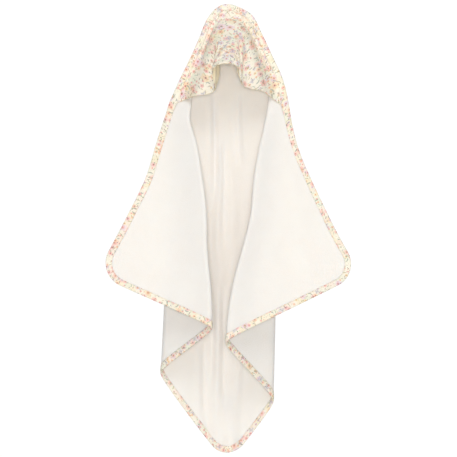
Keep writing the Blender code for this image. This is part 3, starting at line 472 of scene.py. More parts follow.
def relax(P, xy, faces, freedom, steps, gravity, hold, bend=0.35, cap=0.010, seed=3):
    """lets the cloth find its own small folds: threads keep their cut length, the bias gives, weight pulls down"""
    e = np.sort(np.concatenate([faces[:, [0, 1]], faces[:, [1, 2]], faces[:, [2, 0]]]), axis=1)
    e = np.unique(e, axis=0)
    d = xy[e[:, 1]] - xy[e[:, 0]]
    rest = np.linalg.norm(d, axis=1)
    skew = np.abs(d[:, 0] * d[:, 1]) / np.maximum(rest ** 2, 1e-12) * 2            # 0 along a thread, 1 on the bias
    stiff = 1.0 - 0.85 * skew
    # across each inner edge: keeps the cloth from creasing sharper than terry does
    f3 = np.concatenate([faces[:, [0, 1, 2]], faces[:, [1, 2, 0]], faces[:, [2, 0, 1]]])
    key = np.sort(f3[:, :2], axis=1)
    order = np.lexsort((key[:, 1], key[:, 0]))
    key, far = key[order], f3[order, 2]
    same = np.all(key[1:] == key[:-1], axis=1)
    i = np.where(same)[0]
    be = np.stack([far[i], far[i + 1]], 1)
    brest = np.linalg.norm(xy[be[:, 0]] - xy[be[:, 1]], axis=1)
    target = P.copy()
    brest_now = np.linalg.norm(target[be[:, 0]] - target[be[:, 1]], axis=1)
    brest = np.minimum(brest, brest_now * 1.25)
    n = len(P)
    X = P + vertex_normals(P, faces) * (ripple(xy[:, 0], xy[:, 1], seed, 0.07) * 0.0012)[:, None] * freedom[:, None]
    I, J = np.concatenate([e[:, 0], be[:, 0]]), np.concatenate([e[:, 1], be[:, 1]])
    R = np.concatenate([rest, brest])
    K = np.concatenate([stiff, np.full(len(be), bend)])
    W = np.bincount(I, weights=K, minlength=n) + np.bincount(J, weights=K, minlength=n)
    V = np.zeros_like(X)
    for step in range(steps):
        old = X.copy()
        X = X + V * 0.90
        X[:, 2] -= gravity * freedom
        for _ in range(4):
            D = X[J] - X[I]
            ln = np.linalg.norm(D, axis=1)
            g = (D * ((ln - R) / np.maximum(ln, 1e-9) * 0.5 * K)[:, None])
            for c in range(3):
                X[:, c] += (np.bincount(I, weights=g[:, c], minlength=n) - np.bincount(J, weights=g[:, c], minlength=n)) / W * 2.2 * freedom
        X += (target - X) * (hold + (1 - freedom) * (1 - hold))[:, None]
        off = X - target
        far = np.linalg.norm(off, axis=1)
        lim = cap * freedom + 1e-6
        X = target + off * np.minimum(1, lim / np.maximum(far, 1e-9))[:, None]
        V = X - old
    return X


def solid(name, top, bottom, faces, rim, uv, uv_back=None):
    n = len(top)
    verts = np.concatenate([top, bottom])
    r = np.array(rim)
    nxt = np.roll(r, -1)
    side = np.concatenate([np.stack([r, nxt, nxt + n], 1), np.stack([r, nxt + n, r + n], 1)])
    f = np.concatenate([faces, faces[:, ::-1] + n, side])
    # the rim has to run the same way as the faces
    e0 = (faces[:, 0].astype(np.int64) << 32) + faces[:, 1]
    e1 = (faces[:, 1].astype(np.int64) << 32) + faces[:, 2]
    e2 = (faces[:, 2].astype(np.int64) << 32) + faces[:, 0]
    has = set(e0.tolist()) | set(e1.tolist()) | set(e2.tolist())
    if (int(r[0]) << 32) + int(nxt[0]) in has:
        side = side[:, ::-1]
        f = np.concatenate([faces, faces[:, ::-1] + n, side])
    return new_object(name, verts, f, uv=np.concatenate([uv, uv if uv_back is None else uv_back]))


# ------------------------------------------------------------------ the towel
STEP = 0.0046
NS = int(round(PERIMETER / 0.0044))
S = np.arange(NS) * PERIMETER / NS
EA, EB, NA, NB = outline(S)
RINGS = np.array([0.0, 0.0030, 0.0060, 0.0095, BINDING_W])


def crease(x, z, x0, z0, x1, z1, width, depth, bow=0.0):
    """one soft valley from (x0, z0) to (x1, z1), fading out at both ends"""
    dx, dz = x1 - x0, z1 - z0
    L = math.hypot(dx, dz)
    t = ((x - x0) * dx + (z - z0) * dz) / L ** 2
    s = ((x - x0) * dz - (z - z0) * dx) / L + bow * np.sin(np.pi * np.clip(t, 0, 1))
    w = width * (0.75 + 0.5 * np.clip(t, 0, 1))
    fade = ease(-0.04, 0.18, t) * (1 - ease(0.72, 1.04, t))
    return depth * fade * (np.exp(-(s / w) ** 2) - 0.45 * np.exp(-((s - 1.6 * w) / (1.3 * w)) ** 2))


def soft_folds(P, a, b):
    """small folds that the cloth takes up as it hangs, in metres along Y"""
    x, z = P[:, 0], P[:, 2]
    v, t = invert(a, b)
    d, u = (a + b) / R2, (b - a) / R2
    out = np.zeros(len(x))
    mid = (np.abs(u) < 0.09 + 0.0 * z).astype(float)
    front_r = ((u < -0.10) & (P[:, 1] < -0.045)).astype(float)
    front_l = ((u > 0.10) & (P[:, 1] < -0.045)).astype(float)
    for side in (front_r, front_l):
        pass
    # pulls that start where the hood's edge is sewn in
    for x0, z0, x1, z1, w, h in ((0.140, -0.262, 0.088, -0.352, 0.0050, 0.0016), (0.138, -0.258, 0.112, -0.330, 0.0042, 0.0016),
                                 (0.142, -0.270, 0.070, -0.420, 0.0075, 0.0014), (-0.130, -0.262, -0.095, -0.350, 0.0050, 0.0014),
                                 (-0.132, -0.262, -0.115, -0.330, 0.0042, 0.0012)):
        out += crease(x, z, x0, z0, x1, z1, w, h) * ease(0.10, 0.13, -u if x0 > 0 else u) * 1.8
    # long soft folds that fall down the wings
    for x0, z0, x1, z1, w, h, bow in ((-0.118, -0.40, -0.170, -0.700, 0.016, 0.0040, 0.006), (-0.150, -0.36, -0.215, -0.640, 0.014, 0.0024, 0.0),
                                      (-0.085, -0.36, -0.095, -0.700, 0.013, 0.0020, 0.0), (0.110, -0.34, 0.145, -0.680, 0.016, 0.0040, -0.006),
                                      (0.145, -0.36, 0.210, -0.640, 0.014, 0.0022, 0.0), (0.085, -0.36, 0.075, -0.700, 0.012, 0.0022, 0.0)):
        out += crease(x, z, x0, z0, x1, z1, w, h, bow) * ease(0.05, 0.09, -u if x0 > 0 else u) * 2.2
    # upright pleats down the middle panel
    for x0, z0, x1, z1, w, h, bow in ((-0.036, -0.20, -0.030, -0.48, 0.0060, 0.0052, 0.002), (-0.010, -0.30, -0.014, -0.60, 0.0060, 0.0048, 0.001),
                                      (-0.012, -0.66, -0.016, -1.00, 0.0070, 0.0052, 0.002), (-0.060, -0.80, -0.058, -1.00, 0.0070, 0.0042, 0.0),
                                      (0.022, -0.20, 0.030, -0.40, 0.0060, 0.0036, 0.0), (0.032, -0.80, 0.020, -0.98, 0.0080, 0.0030, 0.0),
                                      (-0.036, -0.70, -0.038, -0.92, 0.0060, 0.0036, 0.0)):
        out += crease(x, z, x0, z0, x1, z1, w, h, bow) * (1 - ease(0.065, 0.090, np.abs(u))) * 2.3
    out += ripple(a, b, 31, 0.16, 2) * 0.0011 + ripple(a, b, 32, 0.055, 2) * 0.00035
    return out


def flowing(a, b):
    """the towel's middle surface, led smoothly out from under the hood's free edge"""
    P = towel(a, b)
    d, u = (a + b) / R2, (b - a) / R2
    sel = np.where((d > HOOD_D) & (d < HOOD_D + 0.032) & (np.abs(u) < HOOD_D - 0.0062))[0]
    du, uu = d[sel], u[sel]
    at = lambda e: towel((HOOD_D - e - uu) / R2, (HOOD_D - e + uu) / R2)
    U = at(0.0003) + (at(0.0003) - at(0.0063)) / 0.006 * (du - HOOD_D)[:, None] * 0.8
    k = (1 - ease(0.0, 0.032, du - HOOD_D)) * ease(0.0, 0.014, HOOD_D - 0.0062 - np.abs(uu))
    P[sel] += (U - P[sel]) * k[:, None]
    return P


def build_towel():
    pts, loops = [], []
    for p in RINGS:
        loops.append(list(range(len(pts), len(pts) + NS)))
        pts += list(zip(EA + NA * p, EB + NB * p))
    g = np.arange(STEP / 2, SIDE, STEP)
    A, B = [x.ravel() for x in np.meshgrid(g, g, indexing="ij")]
    keep = edge_distance(A, B) > BINDING_W + 0.55 * STEP
    pts += list(zip(A[keep], B[keep]))
    cross = [(loops[k][i], loops[k + 1][i]) for k in range(len(RINGS) - 1) for i in range(NS)]
    xy, faces, index = flat_mesh(pts, loops, cross)
    ring = [np.array([index[i] for i in loop]) for loop in loops]
    a, b = xy[:, 0], xy[:, 1]
    P = flowing(a, b)
    p = edge_distance(a, b)
    d = (a + b) / R2
    fixed = (1 - ease(HOOD_D + 0.004, HOOD_D + 0.06, d)) * (1 - ease(0.03, 0.07, p))
    freedom = 1 - np.clip(fixed, 0, 1)
    n = vertex_normals(P, faces)
    calm = ease(0.0, 0.05, p) * (1 - (1 - ease(HOOD_D + 0.004, HOOD_D + 0.05, d)) * (1 - ease(0.05, 0.10, p)))
    X = P + np.array([0.0, 1.0, 0.0]) * (soft_folds(P, a, b) * calm)[:, None]
    n = vertex_normals(X, faces)
    if (n * normals(towel, a, b)).sum(1).mean() < 0:
        faces = faces[:, ::-1]
        n = -n
    return xy, faces, ring, X, n, p


XY, TF, RING, TX, TN, TP = build_towel()

pile = half(TP)
press = (1 - ease(HOOD_D + 0.002, HOOD_D + 0.02, XY.sum(1) / R2)) * (1 - ease(0.05, 0.09, TP))
pile = pile * (1 - press) + np.minimum(pile, HEM_HALF) * press
fluff = ripple(XY[:, 0], XY[:, 1], 11, 0.012, 2) * 0.00016 * (1 - press)
hem_in = 1 - ease(0.0005, 0.004, TP)
top = TX + TN * (pile + fluff)[:, None]
bottom = TX - TN * (pile - fluff)[:, None]
uv = XY
towel_ob = solid("towel_terry", top, bottom, TF, RING[0], uv, uv + np.array([1.0, 0.0]))

# ------------------------------------------------------------------ the hood
def build_hood():
    sel = [i for i in range(NS) if S[i] <= Q_HOOD or S[i] >= PERIMETER - Q_HOOD]
    right = [i for i in sel if S[i] > PERIMETER / 2]
    left = [i for i in sel if S[i] < PERIMETER / 2]
    order = right + left
    flat = [(EA[i], EB[i]) for i in order]
    n = 130
    x = np.linspace(-HOOD_D, HOOD_D, n)
    front = list(zip((HOOD_D - x) / R2, (HOOD_D + x) / R2))        # left end to right end
    loop_pts = flat + front
    pts = list(loop_pts)
    loops = [list(range(len(pts)))]
    chains = []
    for p in (BINDING_W,):
        for i in order:
            q = (EA[i] + NA[i] * p, EB[i] + NB[i] * p)
            if sum(q) / R2 < HOOD_D - 0.003:
                pts.append(q)
    step = 0.0034
    g = np.arange(step / 2, HOOD_LEG, step)
    A, B = [v.ravel() for v in np.meshgrid(g, g, indexing="ij")]
    keep = (edge_distance(A, B) > 0.002) & ((A + B) / R2 < HOOD_D - 0.0025) & (np.abs(edge_distance(A, B) - BINDING_W) > 0.0018)
    pts += list(zip(A[keep], B[keep]))
    xy, faces, index = flat_mesh(pts, loops, chains)
    rim = np.array([index[i] for i in loops[0]])
    rim = rim[np.r_[True, rim[1:] != rim[:-1]]]
    a, b = xy[:, 0], xy[:, 1]
    P = hood_target(a, b)
    p = edge_foot(a, b)[0]
    freedom = ease(0.035, 0.080, p)
    X = relax(P, xy, faces, freedom, HOOD_STEPS, 0.00004, np.full(len(a), 0.03), bend=0.5, cap=0.007, seed=5)
    nn = vertex_normals(X, faces)
    if (nn * normals(hood_target, a, b)).sum(1).mean() < 0:
        faces = faces[:, ::-1]
        nn = -nn
    # under the binding the plies lie on the towel
    return xy, faces, rim, X, nn, p


HOOD_STEPS = 40
HXY, HF, HRIM, HX, HN, HP = build_hood()
loose = 0.0010 * ease(0.0127, 0.028, HP)[:, None]
HD = (HXY.sum(1)) / R2
roll = 0.5 + 0.5 * ease(0.0, 0.003, HOOD_D - HD)[:, None]
print_top = HX + HN * (GAP / 2 + PRINT_T * roll)
print_bottom = HX + HN * (GAP / 2 + PRINT_T * (1 - roll) * 0.8)
hood_ob = solid("hood_print", print_top, print_bottom, HF, HRIM, HXY + np.array([0.137, 0.291]))
lin_top = HX - HN * (GAP / 2 + loose)
lin_bottom = HX - HN * (GAP / 2 + loose + LINING_T * (0.35 + 0.65 * ease(0.0, 0.004, HOOD_D - HD)[:, None]))
lining_ob = solid("hood_lining", lin_top, lin_bottom, HF, HRIM, HXY)

# ------------------------------------------------------------------ the binding
def rise(s):
    d = np.minimum(s, PERIMETER - s)
    return 1 - ease(Q_HOOD + 0.003, Q_HOOD + 0.028, d)


M = [TX[r] for r in RING]
N = [TN[r] for r in RING]
N = [0.25 * np.roll(n, 1, 0) + 0.5 * n + 0.25 * np.roll(n, -1, 0) for n in N]
N = [n / np.linalg.norm(n, axis=1)[:, None] for n in N]
OUTW = M[0] - M[1]
OUTW /= np.linalg.norm(OUTW, axis=1)[:, None]
RS = rise(S)
TOP_IN = HEM_HALF + GAP * 0.6 + RS * (LINING_T + PRINT_T + 2 * GAP)
BOT_IN = np.full(NS, HEM_HALF + GAP * 0.6)


def pucker(seed):
    """the tape gathers slightly between stitches"""
    r = np.random.RandomState(seed)
    out = np.zeros(NS)
    for k in range(14):
        f = int(r.uniform(180, 420))
        out += np.sin(2 * np.pi * f * S / PERIMETER + r.rand() * 6.28) * r.uniform(0.5, 1)
    return out / 5.0


def side_profile(base, seed):
    """heights over the cloth at each ring, from the folded edge to the sewn rim"""
    w = pucker(seed)
    return [base + 0.00075 + 0.00010 * w, base + 0.00120 + 0.00022 * w, base + 0.00115 + 0.00026 * w,
            base + 0.00062 + 0.00012 * w, base + 0.00050 + 0.00008 * w]


TOPH, BOTH = side_profile(TOP_IN, 21), side_profile(BOT_IN, 22)
section, run = [], []
c = (TOP_IN - BOT_IN) / 2
hh = (TOP_IN + BOT_IN) / 2
section.append(M[4] + N[4] * (TOP_IN + 0.00002)[:, None])
for k in (4, 3, 2, 1, 0):
    section.append(M[k] + N[k] * TOPH[k][:, None])
for ang in (55, 20, -20, -55):
    co, si = math.cos(math.radians(ang)), math.sin(math.radians(ang))
    section.append(M[0] + OUTW * (0.0008 + 0.0007 * co) + N[0] * (c + (hh + 0.0007) * si)[:, None] + OUTW * 0.0009 * co)
for k in (0, 1, 2, 3, 4):
    section.append(M[k] - N[k] * BOTH[k][:, None])
section.append(M[4] - N[4] * (BOT_IN + 0.00002)[:, None])
for k in (3, 1):
    section.append(M[k] - N[k] * BOT_IN[:, None])
section.append(M[0] + OUTW * 0.0004 - N[0] * (BOT_IN * 0.9)[:, None])
section.append(M[0] + OUTW * 0.0004 + N[0] * (TOP_IN * 0.9)[:, None])
for k in (1, 3):
    section.append(M[k] + N[k] * TOP_IN[:, None])
section = np.stack(section, 1)                                     # stations x points x 3
m = section.shape[1]
verts = np.concatenate([section.reshape(-1, 3), section[0]])       # the first section twice, for the pattern's seam
girth = np.concatenate([[0], np.cumsum(np.linalg.norm(np.diff(section, axis=1), axis=2).mean(0))])
faces, face_uv = [], []
for i in range(NS):
    j = i + 1
    base0, base1 = i * m, j * m
    for q in range(m):
        e = (q + 1) % m
        faces.append((base0 + q, base1 + q, base1 + e, base0 + e))
uvb = np.stack(np.broadcast_arrays(np.append(S, PERIMETER)[:, None], girth[None, :]), -1).reshape(-1, 2)
binding_ob = new_object("edge_tape", verts, np.array(faces), uv=uvb + np.array([0.05, 0.02]))
bm = bmesh.new()
bm.from_mesh(binding_ob.data)
bmesh.ops.remove_doubles(bm, verts=bm.verts, dist=1e-6)
bmesh.ops.recalc_face_normals(bm, faces=bm.faces)
bm.to_mesh(binding_ob.data)
bm.free()


# ------------------------------------------------------------------ stitches
def stitches(name, points, ups, pitch=0.0031, length=0.0025, radius=0.00028, lift=0.00012, closed=True):
    """a row of separate stitches along a line that lies on the cloth"""
    P, U = np.asarray(points), np.asarray(ups)
    if closed:
        P, U = np.concatenate([P, P[:1]]), np.concatenate([U, U[:1]])
    s = np.concatenate([[0], np.cumsum(np.linalg.norm(np.diff(P, axis=0), axis=1))])
    count = int(s[-1] / pitch)
    pitch = s[-1] / count
    t = np.linspace(-0.5, 0.5, 5)
    along = ((np.arange(count) + 0.5) * pitch)[:, None] + t[None, :] * length
    at = lambda q, arr: np.stack([np.interp(q, s, arr[:, c]) for c in range(3)], -1)
    C = at(along, P)
    up = at(along, U)
    up /= np.linalg.norm(up, axis=-1)[..., None]
    T = at(along + 0.0004, P) - at(along - 0.0004, P)
    T /= np.maximum(np.linalg.norm(T, axis=-1), 1e-9)[..., None]
    side = np.cross(T, up)
    dip = 1 - (np.abs(t) * 2) ** 3
    C = C + up * ((lift + radius * 0.7) * dip - radius * 0.6 * (1 - dip))[None, :, None]
    R = radius * np.array([0.55, 0.95, 1.0, 0.95, 0.55])
    k = 6
    ang = np.arange(k) * 2 * np.pi / k
    ringv = C[:, :, None, :] + (side[:, :, None, :] * np.cos(ang)[None, None, :, None] + up[:, :, None, :] * np.sin(ang)[None, None, :, None]) * R[None, :, None, None]
    verts = ringv.reshape(-1, 3)
    faces = []
    one = []
    for i in range(4):
        for j in range(k):
            a0, a1 = i * k + j, i * k + (j + 1) % k
            one += [(a0, a0 + k, a1 + k), (a0, a1 + k, a1)]
    for j in range(1, k - 1):
        one += [(0, j, j + 1), (4 * k, 4 * k + j + 1, 4 * k + j)]
    one = np.array(one)
    faces = (one[None] + (np.arange(count) * 5 * k)[:, None, None]).reshape(-1, 3)
    return new_object(name, verts, faces)


kk = (THREAD_IN - RINGS[3]) / (RINGS[4] - RINGS[3])
line_m = M[3] * (1 - kk) + M[4] * kk
line_n = N[3] * (1 - kk) + N[4] * kk
ft = stitches("edge_thread_front", line_m + line_n * (TOPH[3] * (1 - kk) + TOPH[4] * kk)[:, None], line_n)
bt = stitches("edge_thread_back", line_m - line_n * (BOTH[3] * (1 - kk) + BOTH[4] * kk)[:, None], -line_n)


def on_hood(e, xs):
    """print surface of the relaxed hood near its front edge"""
    k = (HOOD_D - e) / HOOD_D
    a, b = (HOOD_D * k - xs * k) / R2, (HOOD_D * k + xs * k) / R2
    out, up = [], []
    for x, y in zip(a, b):
        w = (HXY[:, 0] - x) ** 2 + (HXY[:, 1] - y) ** 2
        near = np.argpartition(w, 6)[:6]
        g = 1 / (w[near] + 1e-7)
        g /= g.sum()
        n = (HN[near] * g[:, None]).sum(0)
        n /= np.linalg.norm(n)
        out.append((HX[near] * g[:, None]).sum(0) + n * (GAP / 2 + PRINT_T))
        up.append(n)
    return np.array(out), np.array(up)


xs = np.linspace(-HOOD_D + 0.020, HOOD_D - 0.020, 240)
hp, hn = on_hood(HOOD_SEAM_IN, xs)
ht = stitches("hood_thread", hp, hn, closed=False)

# ------------------------------------------------------------------ label
lo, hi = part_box("care_label")
lx0, lx1, lz0, lz1 = lo[0], hi[0], lo[2], hi[2]
ly = (lo[1] + hi[1]) / 2
nu, nv = 17, 25
uu, vv = np.meshgrid(np.linspace(0, 1, nu), np.linspace(0, 1, nv))
x = lx0 + (lx1 - lx0) * uu
z = lz1 + (lz0 - lz1) * vv
y = ly + 0.0007 * np.sin(vv * 2.6) + 0.0006 * (2 * uu - 1) ** 2 * vv + 0.0008 * vv ** 3
mid = np.stack([x, y, z], -1).reshape(-1, 3)
fc = []
for j in range(nv - 1):
    for i in range(nu - 1):
        v0 = j * nu + i
        fc += [(v0, v0 + 1, v0 + nu + 1), (v0, v0 + nu + 1, v0 + nu)]
fc = np.array(fc)
nrm = vertex_normals(mid, fc)
rimidx = [i for i in range(nu)] + [j * nu + nu - 1 for j in range(1, nv)] + [(nv - 1) * nu + i for i in range(nu - 2, -1, -1)] + [j * nu for j in range(nv - 2, 0, -1)]
label_ob = solid("blank_label", mid + nrm * 0.00018, mid - nrm * 0.00018, fc, rimidx, np.stack([uu.ravel() * 0.03, vv.ravel() * 0.042], -1))
face = 1.0 if nrm[:, 1].mean() > 0 else -1.0
lt = stitches("label_thread", (mid + face * nrm * 0.0002)[1:nu - 1] + np.array([0, 0, -0.0026]), (face * nrm)[1:nu - 1], pitch=0.0026, length=0.0020, radius=0.0002, closed=False)

# ------------------------------------------------------------------ materials
class Nodes:
    def __init__(self, name):
        self.mat = bpy.data.materials.new(name)
        self.mat.use_nodes = True
        self.t = self.mat.node_tree
        self.bsdf = self.t.nodes["Principled BSDF"]

    def put(self, node, socket, value):
        s = node.inputs[socket]
        if hasattr(value, "links") or isinstance(value, bpy.types.NodeSocket):
            self.t.links.new(value, s)
        else:
            s.default_value = value

    def math(self, op, a, b=0.0, c=None, clamp=False):
        n = self.t.nodes.new("ShaderNodeMath")
        n.operation = op
        n.use_clamp = clamp
        self.put(n, 0, a)
        self.put(n, 1, b)
        if c is not None:
            self.put(n, 2, c)
        return n.outputs[0]

    def vec(self, op, a, b=None, scale=None):
        n = self.t.nodes.new("ShaderNodeVectorMath")
        n.operation = op
        self.put(n, 0, a)
        if b is not None:
            self.put(n, 1, b)
        if scale is not None:
            self.put(n, "Scale", scale)
        return n.outputs["Value"] if op in ("LENGTH", "DISTANCE", "DOT_PRODUCT") else n.outputs[0]

    def split(self, v):
        n = self.t.nodes.new("ShaderNodeSeparateXYZ")
        self.put(n, 0, v)
        return n.outputs

    def join(self, x, y, z=0.0):
        n = self.t.nodes.new("ShaderNodeCombineXYZ")
        for i, q in enumerate((x, y, z)):
            self.put(n, i, q)
        return n.outputs[0]

    def step(self, x, lo, hi):
        n = self.t.nodes.new("ShaderNodeMapRange")
        n.interpolation_type = "SMOOTHSTEP"
        self.put(n, "Value", x)
        self.put(n, "From Min", lo)
        self.put(n, "From Max", hi)
        return n.outputs[0]

    def mix(self, f, a, b):
        n = self.t.nodes.new("ShaderNodeMix")
        n.data_type = "RGBA"
        self.put(n, 0, f)
        self.put(n, 6, a)
        self.put(n, 7, b)
        return n.outputs[2]

    def noise(self, v, scale, detail=2.0, rough=0.5):
        n = self.t.nodes.new("ShaderNodeTexNoise")
        self.put(n, "Vector", v)
        self.put(n, "Scale", scale)
        self.put(n, "Detail", detail)
        self.put(n, "Roughness", rough)
        return n.outputs

    def voronoi(self, v, scale, feature="F1", randomness=1.0, dims="2D"):
        n = self.t.nodes.new("ShaderNodeTexVoronoi")
        n.voronoi_dimensions = dims
        n.feature = feature
        self.put(n, "Vector", v)
        self.put(n, "Scale", scale)
        self.put(n, "Randomness", randomness)
        return n.outputs

    def ramp(self, f, stops, constant=True):
        n = self.t.nodes.new("ShaderNodeValToRGB")
        n.color_ramp.interpolation = "CONSTANT" if constant else "LINEAR"
        el = n.color_ramp.elements
        while len(el) > 1:
            el.remove(el[-1])
        el[0].position, el[0].color = stops[0][0], (*stops[0][1], 1)
        for p, col in stops[1:]:
            k = el.new(p)
            k.color = (*col, 1)
        self.put(n, 0, f)
        return n.outputs[0]

    def uv(self):
        n = self.t.nodes.new("ShaderNodeUVMap")
        n.uv_map = "cloth"
        return n.outputs[0]

    def bump(self, height, distance, strength=1.0):
        n = self.t.nodes.new("ShaderNodeBump")
        self.put(n, "Height", height)
        self.put(n, "Distance", distance)
        self.put(n, "Strength", strength)
        self.t.links.new(n.outputs[0], self.bsdf.inputs["Normal"])

    def base(self, c):
        self.t.links.new(c, self.bsdf.inputs["Base Color"]) if not isinstance(c, tuple) else self.put(self.bsdf, "Base Color", c)


def rgb(r, g, b):
    """sRGB 0-255 to linear"""
    f = lambda c: (c / 255 / 12.92) if c <= 10.3 else ((c / 255 + 0.055) / 1.055) ** 2.4
    return (f(r), f(g), f(b))


# tint is the terry's own colour; deep is painted shade, the colour laid into the hollows between the loops
def terry_material(name, tint, deep):
    k = Nodes(name)
    uv = k.uv()
    wob = k.vec("SCALE", k.noise(uv, 260.0, 2.0)[1], scale=0.0016)
    v = k.vec("ADD", uv, wob)
    loops = k.voronoi(v, 620.0, randomness=0.85)
    small = k.noise(uv, 1500.0, 2.0)[0]
    patch = k.noise(uv, 22.0, 3.0)[0]
    grain = k.noise(uv, 190.0, 3.0, 0.6)[0]
    # painted shade: the deep colour goes where the loops' cell distance is large, in the hollows where the bump sinks;
    # the grain noise adds random tone on top
    tone = k.step(k.math("ADD", k.math("MULTIPLY", loops[0], 0.9), k.math("MULTIPLY", grain, 0.35)), 0.25, 1.15)
    c = k.mix(k.math("MULTIPLY", tone, 0.55), (*tint, 1), (*deep, 1))
    c = k.mix(k.step(patch, 0.30, 0.75), c, k.mix(0.5, c, (*[min(1.0, t * 1.012) for t in tint], 1)))
    k.base(c)
    h = k.math("ADD", k.math("MULTIPLY", loops[0], -1.0), k.math("MULTIPLY", small, 0.35))
    k.bump(h, 0.0014, 0.60)
    k.put(k.bsdf, "Roughness", 0.95)
    k.put(k.bsdf, "Sheen Weight", 0.25)
    k.put(k.bsdf, "Sheen Roughness", 0.6)
    k.put(k.bsdf, "Specular IOR Level", 0.15)
    k.put(k.bsdf, "Subsurface Weight", 0.7)
    k.put(k.bsdf, "Subsurface Radius", (1.0, 0.92, 0.84))
    k.put(k.bsdf, "Subsurface Scale", 0.0032)
    return k.mat


def motif(k, uv, scale, offset, kinds, size, chance):
    """one layer of scattered motifs: returns the layer's coordinates, each motif's turned local x and y, radius, angle,
    grown size, three random numbers and whether it shows
    """
    v = k.vec("ADD", k.vec("SCALE", uv, scale=scale), offset)
    vor = k.voronoi(v, 1.0, randomness=0.72)
    local = k.vec("SUBTRACT", v, vor["Position"])
    x, y, _ = k.split(local)
    r1, r2, r3 = k.split(vor["Color"])
    ang = k.math("MULTIPLY", r2, 6.283)
    co, si = k.math("COSINE", ang), k.math("SINE", ang)
    X = k.math("ADD", k.math("MULTIPLY", x, co), k.math("MULTIPLY", y, si))
    Y = k.math("SUBTRACT", k.math("MULTIPLY", y, co), k.math("MULTIPLY", x, si))
    r = k.math("SQRT", k.math("ADD", k.math("MULTIPLY", X, X), k.math("MULTIPLY", Y, Y)))
    th = k.math("ARCTAN2", Y, X)
    grown = k.math("MULTIPLY", size, k.math("ADD", 0.75, k.math("MULTIPLY", r3, 0.5)))
    show = k.math("LESS_THAN", r1, chance)
    return v, X, Y, r, th, grown, r1, r2, r3, show


